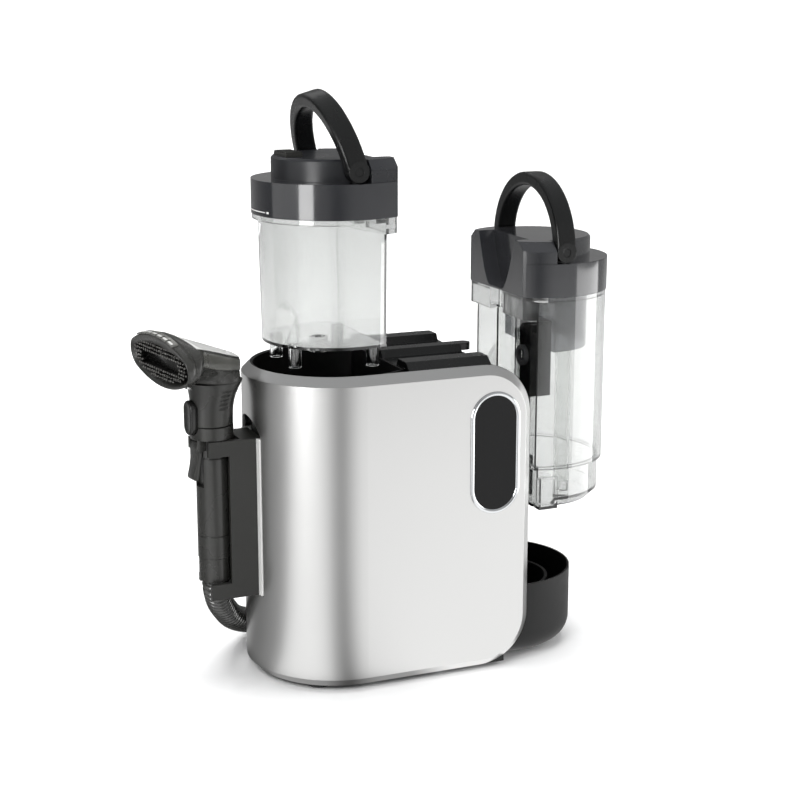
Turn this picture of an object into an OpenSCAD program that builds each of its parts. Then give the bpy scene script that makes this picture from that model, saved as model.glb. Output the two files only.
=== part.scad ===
// Steam spot cleaner: a wrap-round machine body with a lift-out clean water tank at its round end,
// a lift-out dirty water tank in a cup at its open end, and a spray gun in a holder with its hose.
// Millimetres, +Z up. The two tanks are drawn lifted clear of their seats.

/* [Shell] */
// Height of the silver wrap
shell_h = 300; // [280:1:330]
// Wall of the wrap
shell_wall = 3; // [2:0.5:4]
// Width of the 45 degree bevel round the wrap's rims
shell_bevel = 8.5; // [6:0.5:12]
// Corner radius of the front and rear plates
shell_corner = 50; // [30:1:60]
// How far the plates end short of the dirty tank's axis
plate_short = 3.5; // [0:0.5:8]
// Height of the feet
foot_h = 4; // [3:0.5:8]
// Diameter of a foot
foot_d = 22; // [16:1:30]

/* [Clearances] */
// Gap between seated faces
seat_gap = 0.3; // [0.2:0.05:0.5]
// Radial running clearance of a pin
pin_gap = 0.05; // [0.02:0.01:0.1]
// Gap round a lid in its bay
lift_gap = 1.6; // [1:0.1:3]
// Gap between a lid's flat end and the tower
tower_gap = 1.8; // [1:0.1:4]

/* [Tower and base] */
// Length of the tower between the tanks
tower_len = 84; // [82:1:110]
// Wall of the tower
tower_wall = 3; // [2:0.5:4]
// Wall of the well and cheeks
liner_wall = 2.2; // [1.6:0.1:3]
// Thickness of the base plate
base_t = 8; // [6:0.5:12]
// Height of the ridges over the wrap's top
ridge_h = 7; // [4:0.5:12]
// Width of the middle ridge
ridge_w = 14; // [10:0.5:18]
// Reach of the middle ridge past the tower
ridge_reach = 10; // [6:0.5:11]
// Wall of the dock cup
cup_wall = 2; // [1.6:0.1:3]
// Depth that the dirty tank sits in the cup
cup_engage = 12; // [8:0.5:14]

/* [Lids] */
// Radius of the clean tank's lid
clean_lid_r = 75.4; // [72:0.2:80]
// Radius of the dirty tank's lid
dirty_lid_r = 73; // [70:0.2:75]
// Distance of the clean lid's flat end from its axis
clean_flat = 41.7; // [36:0.1:44]
// Distance of the dirty lid's flat end from its axis
dirty_flat = 40.7; // [38:0.1:44]
// Height of the lid band
band_h = 32; // [28:0.5:40]
// Wall of the lid band
band_wall = 3; // [2:0.5:4]
// Height of the raised disc and prongs over the ledge
disc_h = 20.6; // [20.6:0.2:26]
// Chamfer at the prongs' top edge
prong_chamfer = 9; // [5:0.5:10]
// Width of the valley between the prongs at its floor
valley_w = 28; // [24:1:34]
// Width of the valley at the prongs' top
valley_top_w = 78; // [64:1:84]
// Depth of the valley from the flat end
valley_d = 16; // [12:0.5:18]

/* [Vessels] */
// Wall of the clear vessels
vessel_wall = 2.5; // [2:0.1:4]
// Height of the flange below the lid
flange_h = 5; // [4:0.5:8]
// Height of the flange under the clean lid's prongs
clean_flange_h = 15; // [10:0.5:18]
// Height of the flange under the dirty lid's prongs
dirty_flange_h = 22; // [14:0.5:24]
// Height of the neck inside the lid
neck_h = 14; // [10:0.5:16]
// Thickness of the lid seal
seal_t = 3; // [2:0.5:4]
// Height of the clean vessel below its lid
clean_vessel_h = 120; // [100:1:126]
// Inset of the clean vessel's wall from its lid
clean_inset = 6; // [4:0.5:8]
// Inset of the vessels' flat walls from their lids
flat_inset = 12; // [10:0.5:14]
// Length of the clean vessel's pegs
peg_h = 20; // [14:0.5:24]
// Diameter of a peg
peg_d = 12; // [8:0.5:14]
// Height of the dirty vessel below its lid
dirty_vessel_h = 210.5; // [190:0.5:212]
// Height of the dirty vessel's narrower foot
dirty_step_h = 40; // [30:1:50]
// Inset of the dirty vessel's narrower foot
dirty_step_in = 4; // [3:0.5:6]
// Width of the notch between the dirty vessel's lobes
notch_w = 40; // [34:1:44]
// Depth of that notch
notch_d = 16; // [10:0.5:18]
// Lift of the clean tank as drawn
clean_lift = 171.5; // [165:0.5:190]
// Lift of the dirty tank as drawn
dirty_lift = 84; // [70:1:90]
// How far the dirty tank is drawn out as it lifts
dirty_draw = 38; // [24:1:40]

/* [Bails] */
// Radial thickness of a bail
bail_t = 13; // [9:0.5:14]
// Width of a bail
bail_w = 20; // [14:0.5:20]
// Gap between a folded bail and the raised disc
bail_gap = 1.8; // [1:0.1:3]
// Diameter of a bail pin
bail_pin_d = 8; // [5:0.5:10]
// Lean of the clean tank's bail as drawn
bail_lean = 16; // [0:1:20]

/* [Front window] */
// Width of the black oval
window_w = 43.5; // [36:0.5:48]
// Height of the black oval
window_h = 111; // [90:1:130]
// Width of the bright bezel
bezel_w = 4.2; // [3:0.1:6]
// How far the bezel stands proud
bezel_proud = 1.5; // [0.8:0.1:2.5]
// Height of the oval's middle over the wrap's bottom
window_z = 215.5; // [150:0.5:225]
// Distance of the oval's middle from the clean tank's axis
window_x = 130; // [110:1:134]

/* [Spray gun] */
// Distance of the grip's axis from the wrap's round end
grip_off = 34; // [30:0.5:40]
// Radius of the grip
grip_r = 15.8; // [14:0.1:17]
// Height of the grip's lower end over the wrap's bottom
grip_z = 120; // [110:1:130]
// Length of the grip up to its collar
grip_len = 116; // [100:1:130]
// Width of the nozzle's mouth
mouth_w = 122; // [90:1:130]
// Height of the nozzle's mouth
mouth_h = 50; // [36:1:52]
// Reach of the mouth in front of the grip's axis
mouth_reach = 42; // [38:1:52]
// Height of the mouth's middle over the collar
mouth_z = 79; // [72:1:84]
// Tilt of the mouth towards the floor
mouth_tilt = 8; // [0:1:14]
// Turn of the gun in its holder
gun_turn = 10; // [0:1:14]
// Wall of the gun's mouldings
gun_wall = 2.5; // [2:0.5:3.5]
// Pitch of the bristles along the mouth
bristle_pitch = 2.9; // [2.8:0.1:3.4]
// Pitch of the rows of bristles
row_pitch = 3; // [2.9:0.1:3.6]
// Length of the bristles
bristle_len = 8; // [6:0.5:8]

/* [Holder] */
// Wall of the holder's cheeks
cheek_t = 5; // [3:0.5:7]
// Gap between the grip and a cheek
cheek_gap = 1.2; // [0.8:0.1:2]
// Height of the holder's arms
arm_h = 15; // [10:1:20]
// Width of the bright strip beside the holder
trim_w = 5; // [3:0.5:7]

/* [Hose] */
// Outer diameter over the ribs
hose_d = 26; // [24:0.5:26]
// Bore of the hose
hose_bore = 19; // [16:0.5:20]
// Depth of a rib
rib_depth = 2; // [1:0.1:2.2]
// Number of ribs
rib_count = 110; // [60:1:120]

/* [Hidden] */
$fn = 96;
eps = 0.01;
soft_fn = 32;

// Heights of the machine
base_z = foot_h;
top_z = foot_h + shell_h;

// Radii of the wrap follow the wider lid
well_r = max(clean_lid_r, dirty_lid_r) + lift_gap;
liner_r = well_r + liner_wall;
shell_r = liner_r + seat_gap + shell_bevel;

// Places along X, from the clean tank's axis
well_flat = clean_flat + tower_gap;
tower_x0 = well_flat + liner_wall + seat_gap;
tower_x1 = tower_x0 + tower_len;
dock_x = tower_x1 + tower_gap + 1.5 + dirty_flat;
shell_x1 = dock_x - plate_short;

// Clean tank, from the underside of its lid band
clean_seat_z = top_z + 2 - band_h;
clean_z = clean_seat_z + clean_lift;
clean_wall_r = clean_lid_r - clean_inset;
clean_vessel_flat = clean_flat - flat_inset;
clean_foot_z = clean_seat_z - clean_vessel_h - peg_h;
well_floor_z = clean_foot_z - seat_gap;
vessel_taper = 2;
clean_run = 60;
clean_slope = 45;
peg_places = [[-48, 27], [-48, -27], [clean_vessel_flat - 8, 46], [clean_vessel_flat - 8, -46]];
valve_x = -15;
valve_r = 9;
valve_travel = 4;
stub_h = 12;
valve_stem = 13;

// Dirty tank, from the underside of its lid band
dirty_seat_z = top_z + 5 - band_h;
dirty_z = dirty_seat_z + dirty_lift;
dirty_x = dock_x + dirty_draw;
dirty_wall_r = dirty_lid_r - 1;
dirty_step_r = dirty_wall_r - dirty_step_in;
dirty_vessel_flat = dirty_flat - flat_inset;
dirty_step_flat = dirty_vessel_flat - dirty_step_in;
dirty_foot_z = dirty_seat_z - dirty_vessel_h;
foot_slope = 8;
drain = [20, 12, 32];
drain_at = [4, -dirty_step_r - 1, -dirty_vessel_h];
cup_gap = cup_engage * dirty_draw / dirty_lift + 0.5;
cup_in_r = dirty_step_r + cup_gap;
cup_r = cup_in_r + cup_wall;
cup_rim_z = dirty_foot_z + cup_engage;
cup_flat = dirty_step_flat + 0.6;
cup_round = 22;

// Lids and bails
corner_cut = 4;
valley_low = 2;
cavity_flat_in = valley_d + band_wall;
cavity_h = neck_h + seal_t;
seal_w = 6;
neck_in = seal_w + band_wall;
pivot_up = bail_w / 2 + seat_gap;
prong_x = bail_w / 2 + 0.8;
clean_disc_r = clean_lid_r - 19;
dirty_disc_r = dirty_lid_r - 17;

// Spray gun
grip_x = -(shell_r + grip_off);
grip_z0 = base_z + grip_z;
collar_z = grip_z0 + grip_len;
collar_r = grip_r + 4.6;
collar_h = 12;
neck_top_z = collar_z + 54;
mouth_mid_z = collar_z + mouth_z;
mouth_d = 10;
mouth_end = 0.31 * mouth_h;
brush_slot = [0.62 * mouth_w, 8];
cuff_h = 23;
cuff_r = grip_r - 0.6;
brush_t = 3;
brush_in = 8;
bristle_t = 1.2;
bristle_edge = 1.2;
bristle_back = 1;
rim_proud = 1.2;
lip_w = 7;
lip_teeth = 7;
lip_t = 1.6;
lip_proud = 1;
lip_half = 0.3 * mouth_w;
head_reach = max(concat(
    [for (y = [0:lip_half / 20:lip_half]) reach_at(mouth_d + lip_proud, y, lip_up(y))],
    [for (a = [0:3:90]) reach_at(mouth_d, mouth_w / 2 - mouth_end * (1 - cos(a)), mouth_end * sin(a))]));
trigger_pin_at = [-grip_r + 0.3, 0, -5];
trigger_pin_d = 4;
trigger_w = 15;
trigger_gap = 0.6;
ear_t = 3;
button_up = 21;
button_w = 17;
button_h = 33;
button_x = -25;
button_t = 8;
button_travel = 3;
button_gap = 0.4;
spray_w = 9;

// Holder
cheek_y = grip_r + cheek_gap;
holder_y = cheek_y + cheek_t;
holder_z0 = grip_z0 - cuff_h - 15;
holder_x0 = grip_x - 10;
holder_slot = 10;
arch_h = 18;
recess_y = holder_y + trim_w + 1;
recess_d = 20;
arch_r = (recess_y * recess_y + arch_h * arch_h) / (2 * arch_h);

// Drive inside the tower
port_z = dirty_seat_z - 60;
port_y = -40;
port_r = 6;
gasket_r = 10;
gasket_t = 4;
spout_r = 9;
spout_x = dock_x - dirty_vessel_flat - gasket_t - tower_gap;
duct_wall = 3;
motor_x = (tower_x0 + tower_x1) / 2;
motor_r = 36;
motor_h = 70;
motor_rim = 16;
motor_step = 8;
shaft_d = 8;
fan_r = 35;
fan_h = 14;
fan_disc = 2;
fan_hub_r = 10;
fan_gap = 3;
blade_count = 9;
blade_t = 1.6;
blade_turn = 24;
fan_z = port_z - port_r - duct_wall - 2 * fan_gap - fan_h;
motor_z = fan_z - fan_gap - motor_h;
mount_t = 5;
outlet_h = 100;
outlet_x = min(window_x - window_w / 2, tower_x1 - tower_wall - window_w - 1);

// Pump, boiler and pipe on the base plate
floor_z = base_z + base_t;
pump_at = [-34, -32];
pump_r = 16;
pump_l = 56;
pump_up = 18;
boiler_at = [12, -58];
boiler_r = 22;
boiler_l = 100;
boiler_up = 46;
pipe_r = 3;

// Cord inlet and hose elbow on the back
gland_x = 100;
gland_z = base_z + 0.23 * shell_h;
gland_r = 9;
elbow_l = 22;
elbow_r = hose_d / 2 + 2;

// Pieces inside the dirty tank
standpipe_at = [-14.5, -40];
standpipe_d = 16;
skirt_t = 2;
skirt_r = dirty_disc_r - 2;
skirt_flat = dirty_vessel_flat - vessel_wall - 23;
skirt_z = -57;
cage = [21, 22, 74];
cage_t = 2;
cage_at = [dirty_vessel_flat - vessel_wall - cage[0] / 2, port_y, -100];
float_size = [15, 16, 32];

// The frame's origin is under the middle of the box
origin_x = (grip_x - head_reach + dirty_x + dirty_lid_r) / 2;

// Route of the hose along its middle, from the elbow on the back to the gun's cuff
hose_route = [
    [64, 107, 34], [78, 107, 34], [94, 107, 33], [112, 107, 29], [130, 107.2, 23], [206.9, 112.6, 16.5],
    [241.5, 127.3, 13.2], [270.7, 150.9, 13.2], [292.3, 181.7, 13.2], [304.5, 217.2, 13.2],
    [306.5, 254.8, 13.2], [298, 291.4, 13.2], [279.8, 324.2, 13.2], [253.2, 350.8, 13.2],
    [220.4, 369, 13.2], [183.8, 377.5, 13.2], [146.2, 375.5, 13.2], [110.7, 363.3, 13.2],
    [79.9, 341.7, 13.2], [56.3, 312.5, 13.2], [38, 262, 13.2], [26, 234, 13.2], [14, 206, 13.2],
    [2, 178, 13.2], [-12, 151, 13.2], [-28, 126, 13.5], [-44, 106, 15], [-57, 91, 18], [-69, 79, 23.5],
    [-82, 65, 32], [-93, 51, 42], [-103, 37, 55], [-111, 24, 67], [-117, 12, 80], [-121, 3, 92],
    [-122, 0, 102], [-122, 0, 112], [-122, 0, 121.7]];
hose_fine = 6;
hose_sides = 8;
bore_rings = 60;

// Frames that the pieces are drawn in

// The machine's frame: x from the clean tank's axis
module machine() {
    translate([-origin_x, 0, 0]) children();
}

// The clean tank's frame: origin at the underside of its lid band, flat end towards +X
module clean_tank() {
    machine() translate([0, 0, clean_z]) children();
}

// The dirty tank's frame, turned so that its flat end faces +X in the drawing
module dirty_tank() {
    machine() translate([dirty_x, 0, dirty_z]) mirror([1, 0, 0]) children();
}

// The gun's frame: origin on the grip's axis at the collar's underside
module gun() {
    machine() translate([grip_x, 0, collar_z]) rotate([0, 0, gun_turn]) children();
}

// The mouth's frame: x points out of the mouth
module mouth() {
    translate([-mouth_reach, 0, mouth_z]) rotate([0, -mouth_tilt, 0]) mirror([1, 0, 0]) children();
}

// Shared shapes

// A disc with one flat end towards +X
module dee(r, flat) {
    intersection() {
        circle(r);
        translate([-r - 1, -r - 1]) square([r + 1 + flat, 2 * r + 2]);
    }
}

// A slot-shaped outline, wider across the second axis
module stadium(w, h) {
    for (s = [-1, 1]) translate([0, s * (h - w) / 2]) circle(w / 2);
    square([w, h - w], center = true);
}

// A plate outline with round corners
module round_rect(w, h, r) {
    square([w - 2 * r, h], center = true);
    square([w, h - 2 * r], center = true);
    for (x = [-1, 1], y = [-1, 1]) translate([x * (w / 2 - r), y * (h / 2 - r)]) circle(r);
}

// A stretch of extrusion along X
module along_x(x0, x1) {
    translate([x0, 0, 0]) rotate([90, 0, 90]) linear_extrude(x1 - x0) children();
}

// A stretch of extrusion along Y
module along_y(y0, y1) {
    translate([0, y1, 0]) rotate([90, 0, 0]) linear_extrude(y1 - y0) children();
}

// A round bar along Y
module bar_y(r, y0, y1) {
    translate([0, y1, 0]) rotate([90, 0, 0]) cylinder(r = r, h = y1 - y0);
}

// A round bar along X
module bar_x(r, x0, x1) {
    translate([x0, 0, 0]) rotate([0, 90, 0]) cylinder(r = r, h = x1 - x0);
}

// Everything on one side of a plane across X
module keep_x(x0, x1, reach = 400) {
    translate([x0, -reach, -reach]) cube([x1 - x0, 2 * reach, 3 * reach]);
}

// Machine

// Section of a bevelled rim: distance inward from the edge, and depth behind the face
function rim_in(edge) = [
    [edge - shell_bevel, 0], [edge, shell_bevel], [edge - shell_wall * sqrt(2), shell_bevel],
    [edge - shell_bevel - shell_wall * (sqrt(2) - 1), shell_wall]];

// Section of the whole wrap: radius and height
function wrap_section() = let(
        k = shell_wall * sqrt(2), m = shell_wall * (sqrt(2) - 1),
        i = shell_r - shell_bevel, w = shell_r - shell_wall)
    [[shell_r, shell_bevel], [shell_r, shell_h - shell_bevel], [i, shell_h], [i, shell_h - k],
     [w, shell_h - shell_bevel - m], [w, shell_bevel + m], [i, k], [i, 0]];

module front_plate() {
    edge = shell_x1;
    c = shell_corner;
    along_x(0, edge - c) mirror([1, 0]) polygon(wrap_section());
    // right edge
    translate([0, -shell_r, c]) linear_extrude(shell_h - 2 * c)
        polygon(concat([[edge - c, shell_wall], [edge - c, 0]], rim_in(edge)));
    // corners
    for (top = [0, 1]) translate([edge - c, -shell_r, top ? shell_h - c : c])
        mirror([0, 0, top]) rotate([-90, 0, 0]) rotate_extrude(angle = 90)
            polygon(concat([[0, shell_wall], [0, 0]], rim_in(c)));
}

module wrap_shell() machine() color("silver") translate([0, 0, base_z]) difference() {
    union() {
        rotate([0, 0, 90]) rotate_extrude(angle = 180) polygon(wrap_section());
        front_plate();
        mirror([0, 1, 0]) front_plate();
    }
    // seat of the front window
    translate([window_x, -shell_r, window_z]) along_y(-1, shell_wall + 1)
        stadium(window_w + bezel_w, window_h + bezel_w);
    // seat of the rear air outlet
    translate([window_x, shell_r, window_z]) along_y(-shell_wall - 1, 1)
        stadium(window_w + bezel_w, window_h + bezel_w);
    // opening of the holder
    translate([-shell_r - 1, -recess_y, holder_z0 - base_z - 1])
        cube([recess_d, 2 * recess_y, collar_z - holder_z0 + 2]);
    translate([0, 0, collar_z - base_z]) along_x(-shell_r - 1, recess_d - shell_r - 1) intersection() {
        translate([0, arch_h - arch_r]) circle(arch_r);
        translate([-recess_y, 0]) square([2 * recess_y, arch_h]);
    }
    // hose port and cord inlet on the back
    translate([hose_route[0][0] - elbow_l, 0, hose_route[0][2] - base_z])
        bar_y(elbow_r, shell_r - shell_wall - 1, shell_r + 1);
    translate([gland_x, 0, gland_z - base_z]) bar_y(gland_r, shell_r - shell_wall - 1, shell_r + 1);
}

module tank_well() machine() color("#1c1d20") {
    difference() {
        translate([0, 0, well_floor_z - liner_wall])
            linear_extrude(top_z - 1 - well_floor_z + liner_wall) dee(liner_r, well_flat + liner_wall);
        translate([0, 0, well_floor_z]) linear_extrude(top_z) dee(well_r, well_flat);
        translate([valve_x, 0, 0]) cylinder(r = valve_r + 2, h = top_z);
    }
}

module motor_tower() machine() color("#202124") difference() {
    z0 = base_z + base_t + seat_gap;
    h = top_z - 4 - z0;
    translate([tower_x0, -liner_r, z0]) cube([tower_len, 2 * liner_r, h]);
    translate([tower_x0 + tower_wall, -liner_r + tower_wall, z0 - 1])
        cube([tower_len - 2 * tower_wall, 2 * (liner_r - tower_wall), h - tower_wall + 1]);
    // suction port towards the dirty tank
    translate([0, port_y, port_z]) bar_x(port_r, tower_x1 - tower_wall - 1, tower_x1 + 1);
    // air outlet and window
    for (s = [-1, 1]) translate([outlet_x, s * liner_r - tower_wall - 1, base_z + window_z - outlet_h / 2])
        cube([window_w, 2 * tower_wall + 2, outlet_h]);
}

// Outline of the top cover across the machine
function ridge_half(z) = [
    [liner_r, z], [liner_r, z + 3], [77, z + 3], [68, z + 3 + ridge_h], [50, z + 3 + ridge_h],
    [46, z + 3], [ridge_w / 2 + 4, z + 3], [ridge_w / 2, z + 3 + ridge_h]];

module ridge_cover() machine() color("#17181a") {
    z = top_z - 4 + seat_gap;
    half = ridge_half(z);
    along_x(tower_x0, tower_x1)
        polygon(concat(half, [for (i = [len(half) - 1:-1:0]) [-half[i][0], half[i][1]]]));
    // tongue of the middle ridge
    translate([0, 0, z + 3]) linear_extrude(ridge_h) {
        translate([tower_x1 - eps, -ridge_w / 2]) square([ridge_reach - ridge_w / 2 + eps + 3, ridge_w]);
        translate([tower_x1 + ridge_reach + 3 - ridge_w / 2, 0]) circle(ridge_w / 2);
    }
}

module bay_cheeks() machine() color("#1c1d20") for (s = [-1, 1])
    translate([0, s > 0 ? well_r : -liner_r, 0]) along_y(0, liner_wall) intersection() {
        x1 = shell_x1 - shell_bevel;
        z1 = top_z - 1;
        c = shell_corner - shell_bevel;
        union() {
            square([x1, z1 - c]);
            square([x1 - c, z1]);
            translate([x1 - c, z1 - c]) circle(c);
        }
        translate([tower_x1 + seat_gap, cup_rim_z + seat_gap]) square([x1, z1]);
    }

module dock_cup() machine() color("#191a1c") translate([dock_x, 0, base_z]) {
    h = cup_rim_z - base_z;
    difference() {
        intersection() {
            union() {
                translate([0, 0, cup_round]) cylinder(r = cup_r, h = h - cup_round);
                rotate_extrude() translate([cup_r - cup_round, cup_round]) intersection() {
                    circle(cup_round);
                    translate([0, -cup_round]) square(cup_round);
                }
                cylinder(r = cup_r - cup_round, h = cup_round);
            }
            keep_x(-cup_flat - cup_wall, cup_r + 1);
        }
        intersection() {
            translate([0, 0, cup_round]) cylinder(r = cup_in_r, h = h);
            keep_x(-cup_flat, cup_r + 1);
        }
    }
    // ring that the tank stands on
    translate([0, 0, cup_round - eps]) intersection() {
        difference() {
            cylinder(r = dirty_step_r - 14, h = dirty_foot_z - seat_gap - base_z - cup_round + eps);
            translate([0, 0, -1]) cylinder(r = dirty_step_r - 17, h = h);
        }
        keep_x(-cup_flat + 0.5, cup_r);
    }
}

module base_plate() machine() color("#191a1c") translate([0, 0, base_z]) difference() {
    linear_extrude(base_t) {
        circle(shell_r - shell_bevel - seat_gap);
        translate([0, -shell_r + shell_bevel + seat_gap])
            square([dock_x - cup_flat - cup_wall - seat_gap, 2 * (shell_r - shell_bevel - seat_gap)]);
    }
    for (p = foot_places()) translate([p[0], p[1], -1]) cylinder(d = foot_d - 8, h = 3);
}

function foot_places() =
    [for (x = [-0.43 * shell_r, tower_x1 - foot_d], s = [-1, 1]) [x, s * 0.62 * shell_r]];

module feet() machine() color("#2a2a2c") for (p = foot_places()) translate([p[0], p[1], 0]) {
    cylinder(d1 = foot_d - 2, d2 = foot_d, h = 1.5);
    translate([0, 0, 1.5 - eps]) cylinder(d = foot_d, h = foot_h - 1.5 + eps);
    cylinder(d = foot_d - 8 - 2 * seat_gap, h = foot_h + 1.7);
}

module case_screws() machine() color("#77787a")
    for (x = [0.1 * shell_r, tower_x1 - 0.56 * shell_r], s = [-1, 1])
    translate([x, s * 0.8 * shell_r, base_z - 0.4]) difference() {
        cylinder(d = 7, h = 0.4);
        translate([0, 0, -1]) cylinder(d = 3, h = 1.2, $fn = 6);
    }

// Ring with a domed front, on a slot-shaped path
module oval_ring(w, h, band, depth) {
    dome = (band * band / 4 + depth * depth) / (2 * depth);
    module section() translate([w / 2 - band / 2, 0]) intersection() {
        translate([0, depth - dome]) circle(dome);
        translate([-band / 2, 0]) square([band, depth]);
    }
    for (turn = [0, 180]) rotate([0, 0, turn]) translate([0, (h - w) / 2, 0]) {
        rotate_extrude(angle = 180) section();
        rotate([90, 0, 0]) linear_extrude(h - w) section();
    }
}

module window_bezel() machine() color("#d8dadd") translate([window_x, -shell_r, base_z + window_z])
    rotate([90, 0, 0]) {
        translate([0, 0, seat_gap]) oval_ring(window_w + 2 * bezel_w, window_h + 2 * bezel_w, bezel_w,
            bezel_proud - seat_gap);
        translate([0, 0, -shell_wall]) linear_extrude(shell_wall + seat_gap + eps) difference() {
            stadium(window_w + bezel_w - 2 * seat_gap, window_h + bezel_w - 2 * seat_gap);
            stadium(window_w, window_h);
        }
    }

module window_panel() machine() color("#0c0d0e") translate([window_x, -shell_r, base_z + window_z])
    rotate([90, 0, 0]) {
        translate([0, 0, -shell_wall]) linear_extrude(shell_wall + 0.4)
            stadium(window_w - 0.2, window_h - 0.2);
        translate([0, 0, -shell_wall - 1.5]) linear_extrude(1.5)
            stadium(window_w + bezel_w - 1, window_h + bezel_w - 1);
    }

module control_board() machine() color("#1f5a3a")
    translate([window_x - window_w / 2, -shell_r + shell_wall + 1.8, base_z + window_z - 30]) {
        cube([window_w - 12, 1.6, 60]);
        for (i = [0:3]) translate([6, 1.6 - eps, 6 + 13 * i]) cube([8, 1.2, 8]);
    }

module rear_grille() machine() color("#1c1d20") translate([window_x, shell_r, base_z + window_z])
    rotate([-90, 0, 0]) {
        translate([0, 0, seat_gap]) oval_ring(window_w + 2 * bezel_w, window_h + 2 * bezel_w, bezel_w,
            bezel_proud - seat_gap);
        translate([0, 0, -shell_wall]) linear_extrude(shell_wall + seat_gap + eps) difference() {
            stadium(window_w + bezel_w - 2 * seat_gap, window_h + bezel_w - 2 * seat_gap);
            for (i = [-7:7]) translate([0, 6.5 * i]) square([window_w - 12, 3.4], center = true);
        }
    }

// Section of the holder from above: a channel open to the left
module holder_plan() {
    back = grip_x + grip_r + 6;
    for (s = [-1, 1]) translate([holder_x0, s > 0 ? cheek_y : -holder_y])
        square([-liner_r - 1 - holder_x0, cheek_t]);
    translate([back, -holder_y]) square([-liner_r - 1 - back, 2 * holder_y]);
}

module holder_bracket() machine() color("#1b1c1e") difference() {
    translate([0, 0, holder_z0]) linear_extrude(collar_z - seat_gap - holder_z0) difference() {
        holder_plan();
        circle(liner_r + seat_gap);
    }
    // open windows in the cheeks
    translate([holder_x0 - 1, -holder_y - 1, holder_z0 + arm_h])
        cube([grip_x + holder_slot - holder_x0 + 1, 2 * holder_y + 2, collar_z - holder_z0 - 2 * arm_h]);
    // way out for the hose
    translate([holder_x0 - 1, 0, holder_z0 - 1]) cube([29, holder_y + 1, arm_h / 2 + 1]);
}

module holder_trim() machine() color("#d4d6d8") for (s = [-1, 1])
    translate([0, 0, holder_z0]) linear_extrude(collar_z - seat_gap - holder_z0) intersection() {
        difference() {
            circle(shell_r + 0.8);
            circle(liner_r + seat_gap);
        }
        translate([-shell_r - 2, s > 0 ? holder_y + seat_gap : -holder_y - seat_gap - trim_w])
            square([40, trim_w]);
    }

// Drive inside the tower
module suction_motor() machine() color("#5b5e63") translate([motor_x, 0, motor_z]) difference() {
    union() {
        cylinder(r = motor_r - motor_step, h = motor_h);
        translate([0, 0, motor_h - motor_rim]) cylinder(r = motor_r, h = motor_rim);
        cylinder(r = motor_r - motor_step / 2, h = motor_step);
    }
    translate([0, 0, -1]) cylinder(d = shaft_d + 2 * pin_gap, h = motor_h + 2);
}

module motor_shaft() machine() color("#b9bcc0") translate([motor_x, 0, motor_z - fan_gap])
    cylinder(d = shaft_d, h = motor_h + 2 * fan_gap + fan_h);

module fan_blades() {
    for (i = [0:blade_count - 1]) rotate([0, 0, 360 / blade_count * i]) translate([fan_hub_r - 2, 0])
        rotate([0, 0, blade_turn]) translate([0, -blade_t / 2]) square([fan_r - fan_hub_r - 3, blade_t]);
}

module fan_impeller() machine() color("#3a3c40") translate([motor_x, 0, fan_z]) {
    linear_extrude(fan_disc) difference() {
        circle(fan_r);
        circle(d = shaft_d);
    }
    translate([0, 0, fan_disc]) linear_extrude(fan_h - fan_disc) difference() {
        union() {
            circle(fan_hub_r);
            fan_blades();
        }
        circle(d = shaft_d);
    }
}

module motor_mount() machine() color("#2b2c2e") difference() {
    translate([tower_x0 + tower_wall, -liner_r + tower_wall, motor_z + motor_h - motor_rim - mount_t])
        cube([tower_len - 2 * tower_wall, 2 * (liner_r - tower_wall), mount_t]);
    translate([motor_x, 0, motor_z]) cylinder(r = motor_r - motor_step + seat_gap, h = motor_h);
}

// Way from the tank's port to the fan's eye
module duct_legs(r) {
    translate([0, port_y, port_z]) bar_x(r, motor_x, tower_x1 - tower_wall);
    translate([motor_x, port_y, port_z]) sphere(r);
    translate([motor_x, 0, port_z]) bar_y(r, port_y, 0);
    translate([motor_x, 0, port_z]) sphere(r);
    translate([motor_x, 0, fan_z + fan_h + fan_gap]) cylinder(r = r, h = port_z - fan_z - fan_h - fan_gap);
}

module suction_duct() machine() color("#2b2c2e") difference() {
    duct_legs(port_r + duct_wall);
    duct_legs(port_r);
    translate([0, port_y, port_z]) bar_x(port_r, motor_x, tower_x1);
    translate([motor_x, 0, fan_z + fan_h]) cylinder(r = port_r, h = port_r);
}

module dock_seal() machine() color("#2d2e30") translate([0, port_y, port_z]) difference() {
    bar_x(spout_r, tower_x1, spout_x);
    bar_x(port_r, tower_x1 - 1, spout_x + 1);
}

module water_pump() machine() color("#8a8d90") translate([pump_at[0], pump_at[1], floor_z]) {
    translate([0, 0, pump_up]) bar_y(pump_r, 0, pump_l);
    for (y = [4, pump_l - 16]) translate([-pump_r - 2, y, 0]) cube([2 * pump_r + 4, 12, pump_up]);
}

module steam_boiler() machine() color("#a9abad") translate([boiler_at[0], boiler_at[1], floor_z]) {
    translate([0, 0, boiler_up]) bar_y(boiler_r, 0, boiler_l);
    for (y = [10, boiler_l - 20]) translate([-boiler_r + 2, y, 0]) cube([2 * boiler_r - 4, 10, boiler_up]);
}

module feed_pipe() machine() color("#c9cccf") translate([pump_at[0], 0, floor_z]) {
    translate([0, 0, pump_up + pump_r]) cylinder(r = pipe_r, h = boiler_up - pump_up - pump_r);
    translate([0, 0, boiler_up]) sphere(pipe_r);
    translate([0, 0, boiler_up]) bar_x(pipe_r, 0, boiler_at[0] - boiler_r - pump_at[0]);
}

module valve_post() machine() color("#26272a") translate([valve_x, 0, 0]) difference() {
    union() {
        translate([0, 0, well_floor_z - liner_wall]) cylinder(r = valve_r + 2, h = liner_wall);
        translate([0, 0, well_floor_z - eps]) cylinder(r = 2.4, h = peg_h - valve_stem - 0.4);
        translate([0, 0, well_floor_z - 16]) cylinder(r = 6, h = 16);
    }
    translate([0, 0, well_floor_z - 17]) cylinder(r = 3, h = 15);
}

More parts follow.
